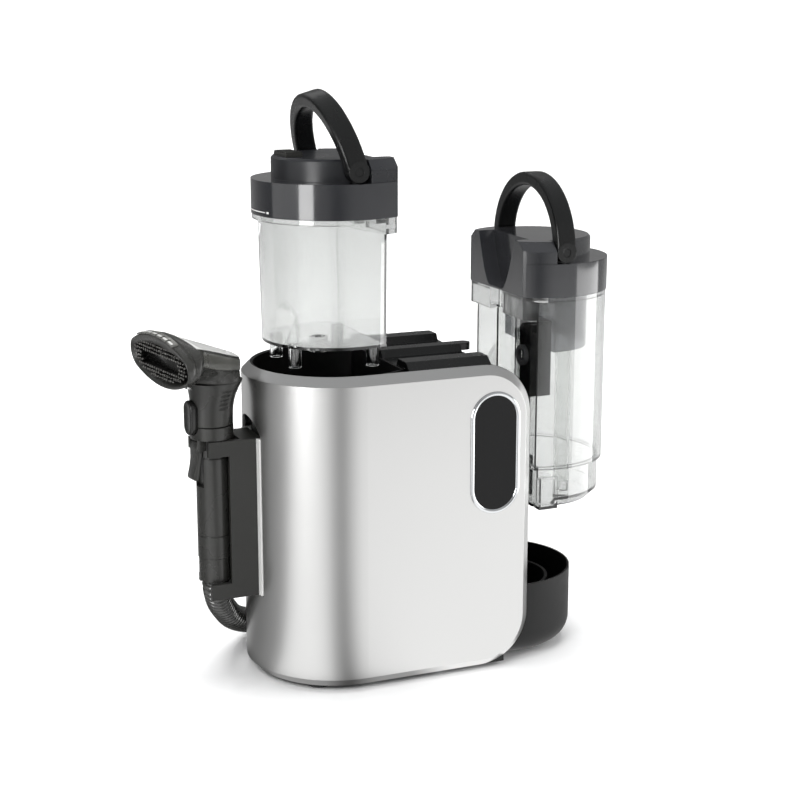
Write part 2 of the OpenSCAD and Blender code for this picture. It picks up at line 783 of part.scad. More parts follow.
module hose_elbow() machine() color("#1a1b1d") translate([hose_route[0][0] - elbow_l, 0, hose_route[0][2]]) {
    y = hose_route[0][1];
    difference() {
        union() {
            bar_y(elbow_r - seat_gap, shell_r - shell_wall, y);
            translate([0, y, 0]) sphere(elbow_r);
            translate([0, y, 0]) bar_x(elbow_r, 0, elbow_l - seat_gap);
        }
        translate([0, y, 0]) bar_x(hose_bore / 2, 0, elbow_l + 1);
        translate([0, y, 0]) sphere(hose_bore / 2);
        bar_y(hose_bore / 2, shell_r - shell_wall - 1, y);
    }
}

module cord_gland() machine() color("#1a1b1d") translate([gland_x, 0, gland_z]) difference() {
    union() {
        bar_y(gland_r - seat_gap, shell_r - shell_wall - 2, shell_r);
        bar_y(gland_r + 2, shell_r + seat_gap, shell_r + 1.4);
        bar_y(gland_r - seat_gap, shell_r - eps, shell_r + 1);
    }
    bar_y(4, shell_r - 6, shell_r + 3);
}

// Hose

function lerp3(a, b, t) = a + (b - a) * t;
function spline(a, b, c, d, t) = 0.5 * ((2 * b) + (c - a) * t + (2 * a - 5 * b + 4 * c - d) * t * t
    + (3 * b - a - 3 * c + d) * t * t * t);
function spline_points(p, n) = let(m = len(p) - 1) [
    for (i = [0:m - 1], j = [0:n - 1])
        spline(p[max(i - 1, 0)], p[i], p[i + 1], p[min(i + 2, m)], j / n), p[m]];
function lengths(p) = [for (i = 0, s = 0; i < len(p);
    s = s + (i + 1 < len(p) ? norm(p[i + 1] - p[i]) : 0), i = i + 1) s];
function spot(p, l, s, i = 0) = i >= len(p) - 2 || l[i + 1] >= s
    ? lerp3(p[i], p[i + 1], (s - l[i]) / (l[i + 1] - l[i])) : spot(p, l, s, i + 1);
function unit(v) = v / norm(v);
function quad(a, b, c, d) = [[a, b, c], [a, c, d]];
function tangent(p, i) = unit(p[min(i + 1, len(p) - 1)] - p[max(i - 1, 0)]);
function frames(t) = [for (i = 0, u = [0, 0, 1]; i < len(t);
        i = i + 1, u = i < len(t) ? unit(u - t[i] * (u * t[i])) : u)
    let(v = unit(u - t[i] * (u * t[i]))) [v, cross(t[i], v)]];
function ring(c, f, r, n) = [for (k = [0:n - 1]) c + r * (f[0] * cos(360 * k / n) + f[1] * sin(360 * k / n))];

// Faces between neighbouring rings, turned outward or inward
function tube_faces(first, rings, m, out) = [
    for (i = [0:rings - 2], k = [0:m - 1])
        let(a = first + i * m + k, b = first + i * m + (k + 1) % m)
        each out ? quad(a, a + m, b + m, b) : quad(a, b, b + m, a + m)];

module suction_hose() machine() color("#202124") {
    fine = spline_points(hose_route, hose_fine);
    along = lengths(fine);
    total = along[len(along) - 1];
    m = hose_sides;
    n = 2 * rib_count + 2;
    inner = n * m;
    straight = hose_d / 2;
    rib_at = concat([0], [for (i = [0:n - 3]) straight + (total - 2 * straight) * i / (n - 3)], [total]);
    bore_at = [for (i = [0:bore_rings - 1]) total * i / (bore_rings - 1)];
    rib_mid = [for (l = rib_at) spot(fine, along, l)];
    bore_mid = [for (l = bore_at) spot(fine, along, l)];
    rib_axes = frames([for (i = [0:n - 1]) tangent(rib_mid, i)]);
    bore_axes = frames([for (i = [0:bore_rings - 1]) tangent(bore_mid, i)]);
    points = concat(
        [for (i = [0:n - 1]) each ring(rib_mid[i], rib_axes[i],
            hose_d / 2 - (i > 1 && i < n - 2 && i % 2 == 0 ? rib_depth : 0), m)],
        [for (i = [0:bore_rings - 1]) each ring(bore_mid[i], bore_axes[i], hose_bore / 2, m)]);
    last = (n - 1) * m;
    bore_last = inner + (bore_rings - 1) * m;
    faces = concat(
        tube_faces(0, n, m, true),
        tube_faces(inner, bore_rings, m, false),
        [for (k = [0:m - 1]) let(j = (k + 1) % m) each quad(k, j, inner + j, inner + k)],
        [for (k = [0:m - 1]) let(j = (k + 1) % m)
            each quad(last + j, last + k, bore_last + k, bore_last + j)]);
    echo(hose_length_mm = total);
    polyhedron(points, faces);
}

// Lids, bails and vessels

// Half width of the valley at a height over the band's underside
function valley_half(z) = valley_w / 2
    + (valley_top_w - valley_w) / 2
    * pow(max(0, min(1, (z - valley_low) / (band_h + disc_h - valley_low))), 0.6);

// Outline of the valley across a lid
module valley_outline() {
    steps = 10;
    top = band_h + disc_h;
    side = [for (i = [0:steps])
        let(z = valley_low + (top - valley_low) * pow(i / steps, 1.6)) [valley_half(z), z]];
    polygon(concat(side, [[valley_top_w / 2, top + 1], [-valley_top_w / 2, top + 1]],
        [for (i = [steps:-1:0]) [-side[i][0], side[i][1]]]));
}

// A disc with one flat end whose corners are cut
module lid_plan(r, flat) difference() {
    dee(r, flat);
    for (s = [-1, 1]) translate([flat, s * sqrt(r * r - flat * flat)]) rotate([0, 0, 45])
        square(corner_cut, center = true);
}

// A disc with one flat end and a notch in it
module lobed(r, flat, w, d) difference() {
    dee(r, flat);
    translate([flat - d, -w / 2]) square([d + 1, w]);
}

module lid_body(r, flat, disc_r) {
    pivot_z = band_h + pivot_up;
    difference() {
        union() {
            linear_extrude(band_h) lid_plan(r, flat);
            translate([0, 0, band_h - eps]) cylinder(r = disc_r, h = disc_h - 2 + eps);
            translate([0, 0, band_h + disc_h - 2 - eps]) cylinder(r1 = disc_r, r2 = disc_r - 2, h = 2 + eps);
            // prongs
            intersection() {
                translate([0, 0, band_h - eps]) union() {
                    cylinder(r = r - 1, h = disc_h - prong_chamfer + eps);
                    translate([0, 0, disc_h - prong_chamfer]) cylinder(r1 = r - 1, r2 = r - 1 - prong_chamfer,
                        h = prong_chamfer);
                }
                keep_x(prong_x, flat);
                linear_extrude(band_h + disc_h) lid_plan(r, flat);
            }
        }
        // the disc ends at the flat end
        keep_x(flat, 2 * r);
        // hollow
        translate([0, 0, -1]) linear_extrude(cavity_h + 1) dee(r - band_wall, flat - cavity_flat_in);
        translate([0, 0, cavity_h - eps]) linear_extrude(band_h - band_wall - cavity_h + eps)
            dee(r - band_wall - seal_w - 3, flat - cavity_flat_in - seal_w);
        intersection() {
            translate([0, 0, cavity_h]) cylinder(r = disc_r - 4, h = band_h + disc_h - band_wall - cavity_h);
            keep_x(-r, flat - cavity_flat_in - seal_w);
        }
        // valley
        along_x(flat - valley_d, flat + 1) valley_outline();
        // bail pins
        translate([0, 0, pivot_z]) for (s = [-1, 1])
            bar_y(bail_pin_d / 2, s > 0 ? disc_r - 8 : -disc_r - 1, s > 0 ? disc_r + 1 : -disc_r + 8);
        // room for the bail's round ends
        translate([0, 0, pivot_z]) for (s = [-1, 1])
            bar_y(bail_w / 2 + 0.7, s > 0 ? disc_r + bail_gap - 1 : -r - 1,
                s > 0 ? r + 1 : -disc_r - bail_gap + 1);
    }
}

module lid_seal(r, flat) translate([0, 0, neck_h]) linear_extrude(seal_t) difference() {
    dee(r - band_wall, flat - cavity_flat_in);
    dee(r - band_wall - seal_w, flat - cavity_flat_in - seal_w);
}

module bail(r, lean) translate([0, 0, band_h + pivot_up]) rotate([0, -lean, 0]) difference() {
    inner = r + bail_gap;
    union() {
        rotate([0, -90, 0]) rotate([0, 0, -90]) rotate_extrude(angle = 180)
            translate([inner + bail_t / 2, 0]) round_rect(bail_t, bail_w, 3);
        for (s = [-1, 1]) bar_y(bail_w / 2, s > 0 ? inner : -inner - bail_t, s > 0 ? inner + bail_t : -inner);
    }
    bar_y(bail_pin_d / 2 + pin_gap, -2 * r, 2 * r);
}

module bail_pins(r) translate([0, 0, band_h + pivot_up]) for (s = [-1, 1])
    bar_y(bail_pin_d / 2, s > 0 ? r - 8 : -r - bail_gap - bail_t + 0.5,
        s > 0 ? r + bail_gap + bail_t - 0.5 : -r + 8);

// Flange and neck that carry a lid: the flange is taller under the prongs, over a run along X
module vessel_rim(r, flat, tall, run, slope) {
    difference() {
        union() {
            intersection() {
                translate([0, 0, -tall]) linear_extrude(tall - seat_gap) lid_plan(r - 0.8, flat - 0.9);
                along_y(-r, r) polygon([[-r, 0], [-r, -flange_h], [flat - run, -flange_h],
                    [flat - run + slope, -tall], [flat, -tall], [flat, 0]]);
            }
            translate([0, 0, -flange_h]) linear_extrude(flange_h + neck_h - seat_gap)
                dee(r - band_wall - seat_gap - 2, flat - cavity_flat_in - seat_gap);
        }
        translate([0, 0, -tall - 1]) linear_extrude(tall + neck_h + 2)
            dee(r - neck_in, flat - cavity_flat_in - seal_w);
        translate([flat - valley_d, -valley_w / 2, -tall - 1]) cube([2 * valley_d, valley_w, tall + 2]);
        children();
    }
}

// Room inside the clean vessel
module clean_room() {
    r = clean_wall_r - vessel_wall;
    intersection() {
        translate([0, 0, vessel_wall - clean_vessel_h])
            cylinder(r1 = r - vessel_taper, r2 = r, h = clean_vessel_h - vessel_wall - flange_h);
        keep_x(-r, clean_vessel_flat - vessel_wall);
    }
}

module clean_vessel() clean_tank() color("#dfe8ec", 0.35) {
    r = clean_wall_r;
    bottom = -clean_vessel_h;
    vessel_rim(clean_lid_r, clean_flat, clean_flange_h, clean_run, clean_slope) clean_room();
    difference() {
        intersection() {
            translate([0, 0, bottom])
                cylinder(r1 = r - vessel_taper, r2 = r, h = clean_vessel_h - flange_h + eps);
            keep_x(-r, clean_vessel_flat);
        }
        clean_room();
        translate([0, 0, -flange_h - 1]) linear_extrude(flange_h)
            dee(clean_lid_r - neck_in, clean_flat - cavity_flat_in - seal_w);
        translate([valve_x, 0, bottom - 1]) cylinder(r = valve_r - 2.5, h = vessel_wall + 2);
    }
    // hollow pegs
    for (p = peg_places) translate([p[0], p[1], bottom - peg_h]) difference() {
        cylinder(d = peg_d, h = peg_h + 1);
        translate([0, 0, -1]) cylinder(d = peg_d - 4, h = peg_h - 1);
    }
    // outlet stub
    translate([valve_x, 0, bottom - stub_h]) difference() {
        cylinder(r = valve_r, h = stub_h + eps);
        translate([0, 0, 2]) cylinder(r = valve_r - 2.5, h = stub_h);
        translate([0, 0, -1]) cylinder(r = 3.5, h = 4);
    }
}

module clean_valve() clean_tank() color("#2c2d30") translate([valve_x, 0, -clean_vessel_h - stub_h + 2]) {
    translate([0, 0, seat_gap]) cylinder(r = valve_r - 3, h = 3);
    translate([0, 0, stub_h - 2 - valve_stem]) cylinder(r = 3, h = 16);
}

module clean_lid() clean_tank() color("#3f4145") lid_body(clean_lid_r, clean_flat, clean_disc_r);
module clean_lid_seal() clean_tank() color("#8f9294") lid_seal(clean_lid_r, clean_flat);
module clean_bail() clean_tank() color("#1d1e20") bail(clean_disc_r, bail_lean);
module clean_bail_pins() clean_tank() color("#9a9da0") bail_pins(clean_disc_r);

module filler_tab() clean_tank() color("#141517") translate([-clean_disc_r + 14, 0, band_h + disc_h]) {
    translate([-8, -17, 0]) cube([16, 34, 3]);
    for (i = [0:6]) translate([-8, -16 + 5 * i, 3 - eps]) cube([16, 2, 1.6]);
}

// Room inside the dirty vessel: a narrower foot with a sloped edge, and the main part over it
module dirty_room() {
    foot = dirty_step_r - vessel_wall;
    flat = dirty_step_flat - vessel_wall;
    w = notch_w + 2 * vessel_wall;
    floor = vessel_wall - dirty_vessel_h;
    translate([0, 0, floor + foot_slope]) linear_extrude(dirty_step_h - foot_slope)
        lobed(foot, flat, w, notch_d);
    intersection() {
        translate([0, 0, floor]) cylinder(r1 = foot - foot_slope, r2 = foot, h = foot_slope + eps);
        translate([0, 0, floor]) linear_extrude(foot_slope + 1) lobed(foot, flat, w, notch_d);
    }
    translate([0, 0, floor + dirty_step_h - eps])
        linear_extrude(dirty_vessel_h - dirty_step_h - vessel_wall - flange_h)
        lobed(dirty_wall_r - vessel_wall, dirty_vessel_flat - vessel_wall, w, notch_d);
}

module dirty_vessel() dirty_tank() color("#dfe8ec", 0.35) {
    vessel_rim(dirty_lid_r, dirty_flat, dirty_flange_h, valley_d, 1) dirty_room();
    difference() {
        translate([0, 0, dirty_step_h - dirty_vessel_h])
            linear_extrude(dirty_vessel_h - dirty_step_h - flange_h + eps)
            lobed(dirty_wall_r, dirty_vessel_flat, notch_w, notch_d);
        dirty_room();
        translate([0, 0, -flange_h - 1]) linear_extrude(flange_h)
            dee(dirty_lid_r - neck_in, dirty_flat - cavity_flat_in - seal_w);
        translate([0, port_y, port_z - dirty_seat_z]) bar_x(port_r, 0, dirty_flat);
    }
}

// Narrower foot, welded under the vessel
module dirty_foot() dirty_tank() color("#dfe8ec", 0.35) difference() {
    bottom = -dirty_vessel_h;
    union() {
        translate([0, 0, bottom + foot_slope]) linear_extrude(dirty_step_h - foot_slope)
            lobed(dirty_step_r, dirty_step_flat, notch_w, notch_d);
        intersection() {
            translate([0, 0, bottom])
                cylinder(r1 = dirty_step_r - foot_slope, r2 = dirty_step_r, h = foot_slope + eps);
            translate([0, 0, bottom]) linear_extrude(foot_slope + 1)
                lobed(dirty_step_r, dirty_step_flat, notch_w, notch_d);
        }
        // drain box on the foot
        translate(drain_at) cube(drain);
    }
    dirty_room();
    translate(drain_at + vessel_wall * [1, 1, 1]) cube(drain - 2 * vessel_wall * [1, 0, 1]);
}

module standpipe() dirty_tank() color("#dfe8ec", 0.35)
    translate([standpipe_at[0], standpipe_at[1], 0]) difference() {
    translate([0, 0, -dirty_vessel_h + vessel_wall]) cylinder(d = standpipe_d, h = dirty_vessel_h - 34);
    translate([0, 0, -dirty_vessel_h + 12]) cylinder(d = standpipe_d - 4, h = dirty_vessel_h);
    translate([-4, -20, -dirty_vessel_h + 10]) cube([8, 20, 10]);
}

module dirty_lid() dirty_tank() color("#3f4145") lid_body(dirty_lid_r, dirty_flat, dirty_disc_r);
module dirty_lid_seal() dirty_tank() color("#8f9294") lid_seal(dirty_lid_r, dirty_flat);
module dirty_bail() dirty_tank() color("#1d1e20") bail(dirty_disc_r, 0);
module dirty_bail_pins() dirty_tank() color("#9a9da0") bail_pins(dirty_disc_r);

// Hangs from the lid's underside inside the neck
module baffle_skirt() dirty_tank() color("#33353a")
    translate([0, 0, skirt_z]) linear_extrude(band_h - band_wall - skirt_z)
    difference() {
        dee(skirt_r, skirt_flat);
        dee(skirt_r - skirt_t, skirt_flat - skirt_t);
    }

// Stands on the vessel's flat wall, behind the port
module float_cage() dirty_tank() color("#17181a") difference() {
    translate(cage_at + [-cage[0] / 2, -cage[1] / 2, 0]) cube(cage);
    translate(cage_at + [-cage[0] / 2 + cage_t, -cage[1] / 2 + cage_t, cage_t])
        cube(cage - 2 * cage_t * [1, 1, 1]);
    for (i = [0:2]) translate(cage_at + [-5, 0, 10 + 10 * i]) cube([10, cage[1], 5]);
    translate([0, port_y, port_z - dirty_seat_z]) bar_x(port_r, cage_at[0], dirty_flat);
}

module float_block() dirty_tank() color("#d9d4c8")
    translate(cage_at + [-float_size[0] / 2, -float_size[1] / 2, cage_t + seat_gap]) cube(float_size);

module intake_seal() dirty_tank() color("#17181a")
    translate([0, port_y, port_z - dirty_seat_z]) difference() {
    bar_x(gasket_r, dirty_vessel_flat, dirty_vessel_flat + gasket_t);
    bar_x(port_r, dirty_vessel_flat - 1, dirty_vessel_flat + gasket_t + 1);
}

// Spray gun

// Room that the steam button slides in
module button_seat() {
    translate([-2 * collar_r, 0, button_up]) rotate([90, 0, 90])
        linear_extrude(2 * collar_r + button_x + button_t + button_travel + seat_gap)
            stadium(button_w + 2 * button_gap, button_h + 2 * button_gap);
}

module gun_grip() gun() color("#1d1e20") difference() {
    slot = trigger_w / 2 + trigger_gap;
    union() {
        translate([0, 0, -grip_len]) cylinder(r = grip_r, h = grip_len);
        cylinder(r = collar_r, h = collar_h);
        // ears of the trigger's pin
        for (side = [-1, 1]) translate([-grip_r - 3.4, side > 0 ? slot : -slot - ear_t, -10])
            cube([8, ear_t, 11]);
    }
    // ring lines
    for (z = [-18, -grip_len + 22]) translate([0, 0, z]) rotate_extrude() translate([grip_r, 0]) circle(0.6);
    // bore
    translate([0, 0, -grip_len - 1]) cylinder(d = hose_bore, h = grip_len + collar_h + 2);
    // trigger slot
    translate([-grip_r - 5, -slot, -46]) cube([9.8, 2 * slot, 46]);
    translate(trigger_pin_at) bar_y(trigger_pin_d / 2, -grip_r, grip_r);
    button_seat();
}

// Rounded block used in the gun's outline
module soft_slab(rx, ry, h) {
    scale([rx, ry, 1]) cylinder(r = 1, h = h, $fn = soft_fn);
}

module gun_neck() gun() color("#1d1e20") difference() {
    top = neck_top_z - collar_z;
    hull() {
        translate([0, 0, collar_h + seat_gap]) soft_slab(20.5, 19, 1);
        translate([4, 0, top - 1]) soft_slab(26, 23, 1);
    }
    cylinder(d = hose_bore, h = 2 * top);
    button_seat();
    // notch of the spray nozzle
    translate([-30, -spray_w / 2 - seat_gap, top - 8 - seat_gap])
        cube([14 + seat_gap, spray_w + 2 * seat_gap, 10]);
    // vents on the back
    for (i = [0:4]) translate([12, -10, 26 + 4 * i]) cube([20, 20, 1.8]);
}

module spray_nozzle() gun() color("#dfe6e8", 0.5) translate([-16, 0, neck_top_z - collar_z - 8])
    along_y(-spray_w / 2, spray_w / 2) polygon([[0, 0], [-10, 3], [-10, 8], [0, 8]]);

// Radius of the long arcs of an oval of four arcs
function oval_r(w, h, r) = (pow(w / 2 - r, 2) + h * h / 4 - r * r) / (h - 2 * r);

// An oval of four arcs, wider across the first axis
module oval(w, h, r) {
    big = oval_r(w, h, r);
    reach = big * (w / 2 - r) / (big - r);
    for (s = [-1, 1]) translate([s * (w / 2 - r), 0]) circle(r);
    intersection() {
        translate([0, h / 2 - big]) circle(big, $fn = 3 * $fn);
        translate([0, big - h / 2]) circle(big, $fn = 3 * $fn);
        square([2 * reach, h], center = true);
    }
}

// Mouth's outline, across Y and up
module mouth_outline(inset) {
    oval(mouth_w - 2 * inset, mouth_h - 2 * inset, mouth_end - inset);
}

module mouth_slab(x0, x1, inset) {
    mouth() translate([x0, 0, 0]) rotate([90, 0, 90]) linear_extrude(x1 - x0) mouth_outline(inset);
}

module gun_head() gun() color("#26272a") difference() {
    low = neck_top_z - collar_z + seat_gap;
    union() {
        hull() {
            mouth_slab(-4, -2, rim_proud, $fn = 2 * soft_fn);
            translate([20, 0, low]) soft_slab(10, 21, 23);
            translate([-6, 0, low]) soft_slab(16, 23, 1);
        }
        mouth_slab(-3, mouth_d, 0);
    }
    mouth_slab(mouth_d - brush_in - brush_t - seat_gap, mouth_d + 1, gun_wall);
    // way of the air from the mouth into the bore
    translate([0, 0, low - 1]) cylinder(d = hose_bore, h = 12);
    translate([0, 0, low + 14]) bar_x(7, -mouth_reach, 0);
}

// Height of the lip's outer face over the mouth's middle, Y from it
function lip_up(y) = let(big = oval_r(mouth_w, mouth_h, mouth_end) + lip_t)
    sqrt(big * big - y * y) - big + lip_t + mouth_h / 2;

// How far a point of the mouth's frame lies in front of the grip's axis
function reach_at(out, y, up) =
    (mouth_reach + out * cos(mouth_tilt) + up * sin(mouth_tilt)) * cos(gun_turn) + y * sin(gun_turn);

module nozzle_lip() gun() color("#e4ecef", 0.4) mouth() {
    pitch = 2 * lip_half / lip_teeth;
    front = mouth_d + lip_proud;
    difference() {
        along_x(front - lip_w, front) intersection() {
            difference() {
                mouth_outline(-lip_t);
                mouth_outline(0);
            }
            translate([-lip_half, 0]) square([2 * lip_half, mouth_h]);
        }
        for (i = [1:lip_teeth - 1]) translate([front - lip_w + 2, -lip_half + pitch * (i - 0.1), 0])
            cube([lip_w, 0.2 * pitch, mouth_h]);
    }
}

module brush_plate() gun() color("#151618") mouth() translate([mouth_d - brush_t - brush_in, 0, 0])
    rotate([90, 0, 90]) linear_extrude(brush_t) difference() {
        mouth_outline(gun_wall + seat_gap);
        rotate([0, 0, 90]) stadium(brush_slot[1], brush_slot[0]);
    }

// Whether a strand fits in an oval of four arcs and clear of the slot
function strand_fits(x, y, w, h, r) = let(big = oval_r(w, h, r), reach = big * (w / 2 - r) / (big - r),
        over = max(0, abs(x) - (brush_slot[0] - brush_slot[1]) / 2))
    (abs(x) < reach ? norm([x, abs(y) + big - h / 2]) < big - bristle_t
        : norm([abs(x) - w / 2 + r, y]) < r - bristle_t)
    && norm([over, y]) > brush_slot[1] / 2 + bristle_t;

// Strands stand in rows over and under the suction slot
module bristles() gun() color("#101113") mouth()
    translate([mouth_d - brush_in + pin_gap, 0, 0]) rotate([90, 0, 90]) {
    inset = gun_wall + bristle_edge;
    w = mouth_w - 2 * inset;
    h = mouth_h - 2 * inset;
    nx = floor(w / 2 / bristle_pitch);
    ny = floor(h / 2 / row_pitch);
    resize([w, h, bristle_back + bristle_len]) union() {
        linear_extrude(bristle_back) difference() {
            oval(w, h, mouth_end - inset, $fn = soft_fn);
            rotate([0, 0, 90]) stadium(brush_slot[1] + 1, brush_slot[0] + 1, $fn = soft_fn);
        }
        for (i = [-nx:nx], j = [-ny:ny]) let(x = i * bristle_pitch, y = j * row_pitch)
            if (strand_fits(x, y, w, h, mouth_end - inset))
                translate([x, y, bristle_back - eps]) linear_extrude(bristle_len + eps)
                    circle(d = bristle_t, $fn = 3);
    }
}

module trigger() gun() color("#242528") translate(trigger_pin_at) difference() {
    along_y(-trigger_w / 2, trigger_w / 2) polygon([
        [3, 3], [-3, 3.5], [-4, -4], [-4, -14], [-7.5, -31], [-4.5, -34], [-1.2, -31], [0.3, -18], [3, -4]]);
    bar_y(trigger_pin_d / 2 + pin_gap, -trigger_w, trigger_w);
}

module trigger_pin() gun() color("#a6a9ac") translate(trigger_pin_at)
    bar_y(trigger_pin_d / 2, -trigger_w / 2 - trigger_gap - ear_t, trigger_w / 2 + trigger_gap + ear_t);

module steam_button() gun() color("#2b2c2f") translate([button_x, 0, button_up]) rotate([90, 0, 90])
    linear_extrude(button_t) stadium(button_w, button_h);

module hose_cuff() gun() color("#17181a") translate([0, 0, -grip_len - cuff_h]) difference() {
    cylinder(r = cuff_r, h = cuff_h - seat_gap);
    translate([0, 0, -1]) cylinder(d = hose_d + 2 * seat_gap, h = cuff_h - 1);
    cylinder(d = hose_bore, h = cuff_h + 1);
}

wrap_shell();
tank_well();
motor_tower();
ridge_cover();
bay_cheeks();
dock_cup();
base_plate();
feet();
case_screws();
window_bezel();
window_panel();
control_board();
rear_grille();
holder_bracket();
holder_trim();
suction_motor();
motor_shaft();
fan_impeller();
motor_mount();
suction_duct();
dock_seal();
water_pump();
steam_boiler();
feed_pipe();
valve_post();
hose_elbow();
suction_hose();
cord_gland();
clean_vessel();
clean_valve();
clean_lid();
clean_lid_seal();
filler_tab();
clean_bail();
clean_bail_pins();
dirty_vessel();
dirty_foot();
standpipe();
dirty_lid();
dirty_lid_seal();
baffle_skirt();
float_cage();
float_block();
intake_seal();
dirty_bail();
dirty_bail_pins();
gun_grip();
gun_neck();
gun_head();
spray_nozzle();
nozzle_lip();
brush_plate();
bristles();
trigger();
trigger_pin();
steam_button();
hose_cuff();
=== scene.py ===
"""Studio scene of a steam spot cleaner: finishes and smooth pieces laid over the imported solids.

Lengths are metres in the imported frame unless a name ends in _mm or a docstring says otherwise.
"""

from __future__ import annotations

import logging
import math
import random
from collections.abc import Sequence
from dataclasses import dataclass
from enum import Enum

import bpy
from mathutils import Euler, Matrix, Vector

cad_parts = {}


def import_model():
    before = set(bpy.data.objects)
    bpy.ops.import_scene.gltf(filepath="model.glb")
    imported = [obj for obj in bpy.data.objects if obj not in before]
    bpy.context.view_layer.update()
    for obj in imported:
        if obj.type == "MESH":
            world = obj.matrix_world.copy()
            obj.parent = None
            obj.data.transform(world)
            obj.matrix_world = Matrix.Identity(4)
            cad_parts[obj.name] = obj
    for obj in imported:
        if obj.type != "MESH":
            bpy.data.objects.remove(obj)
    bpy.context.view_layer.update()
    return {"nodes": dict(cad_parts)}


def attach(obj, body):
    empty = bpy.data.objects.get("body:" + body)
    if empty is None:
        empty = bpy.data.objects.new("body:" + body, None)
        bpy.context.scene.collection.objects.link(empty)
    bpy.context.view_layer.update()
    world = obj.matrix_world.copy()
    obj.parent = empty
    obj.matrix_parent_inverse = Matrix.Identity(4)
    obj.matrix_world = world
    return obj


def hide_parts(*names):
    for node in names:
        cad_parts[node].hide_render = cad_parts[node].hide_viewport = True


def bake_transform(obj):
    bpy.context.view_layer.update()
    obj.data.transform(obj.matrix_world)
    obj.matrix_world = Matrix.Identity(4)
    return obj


LOG = logging.getLogger("spot_cleaner")
MM = 0.001

Colour = tuple[float, float, float, float]
Point = tuple[float, float, float]
# Across and up of a point of an outline
Flat = tuple[float, float]
# Place and value of a stop on a smooth line
Stop = tuple[float, float]
Face = tuple[int, ...]

# Size of the clouds in a finish's gloss, and the depth of its grain
CLOUD_MM = 38.0
GRAIN_DEPTH_MM = 0.05
COAT_ROUGHNESS = 0.08
# Size and depth of the flow marks in a clear moulding
FLOW_MM = 24.0
FLOW_DEPTH_MM = 0.3
FLOW_STRENGTH = 0.05
CLEAR_COAT_ROUGHNESS = 0.03
# Grey of the light that gets through a thick clear edge
EDGE_GREY = "#4a4c4d"


class Body(Enum):
    """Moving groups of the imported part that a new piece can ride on."""

    MACHINE = "machine"
    GUN = "gun"
    TRIGGER = "trigger"
    BUTTON = "steam_button"
    CLEAN_LID = "clean_lid"


class Grain(Enum):
    """How a moulded face was textured in its tool."""

    POLISHED = 0.0
    FINE = 0.1
    SATIN = 0.25
    ERODED = 0.6


def linear(code: str) -> Colour:
    """Turns an sRGB hex colour into linear light.

    Args:
        code: Six hex digits with a leading hash.

    Returns:
        Linear red, green and blue, and full opacity.
    """
    parts = [int(code[i : i + 2], 16) / 255 for i in (1, 3, 5)]
    out = [c / 12.92 if c <= 0.04045 else ((c + 0.055) / 1.055) ** 2.4 for c in parts]
    return out[0], out[1], out[2], 1.0


def add_node(
    tree: bpy.types.NodeTree,
    kind: str,
    settings: dict[str, object] | None = None,
    inputs: dict[str, object] | None = None,
) -> bpy.types.Node:
    """Adds one shader node, sets it up and links what feeds it.

    Args:
        tree: Node tree of the material.
        kind: Blender's name of the node type.
        settings: Attributes of the node.
        inputs: Socket name to a plain value, or to a socket that feeds it.

    Returns:
        The new node.
    """
    node = tree.nodes.new(kind)
    for key, value in (settings or {}).items():
        setattr(node, key, value)
    for key, value in (inputs or {}).items():
        if isinstance(value, bpy.types.NodeSocket):
            tree.links.new(value, node.inputs[key])
        else:
            node.inputs[key].default_value = value
    return node


def add_noise(tree: bpy.types.NodeTree, size_mm: float, detail: float) -> bpy.types.NodeSocket:
    """Adds a noise that is fixed to the piece.

    Args:
        tree: Node tree of the material.
        size_mm: Size of its features.
        detail: How many finer noises lie in it.

    Returns:
        The socket with its value.
    """
    place = add_node(tree, "ShaderNodeTexCoord").outputs["Object"]
    sizes = {"Vector": place, "Scale": 1.0 / (size_mm * MM), "Detail": detail}
    return add_node(tree, "ShaderNodeTexNoise", inputs=sizes).outputs["Fac"]


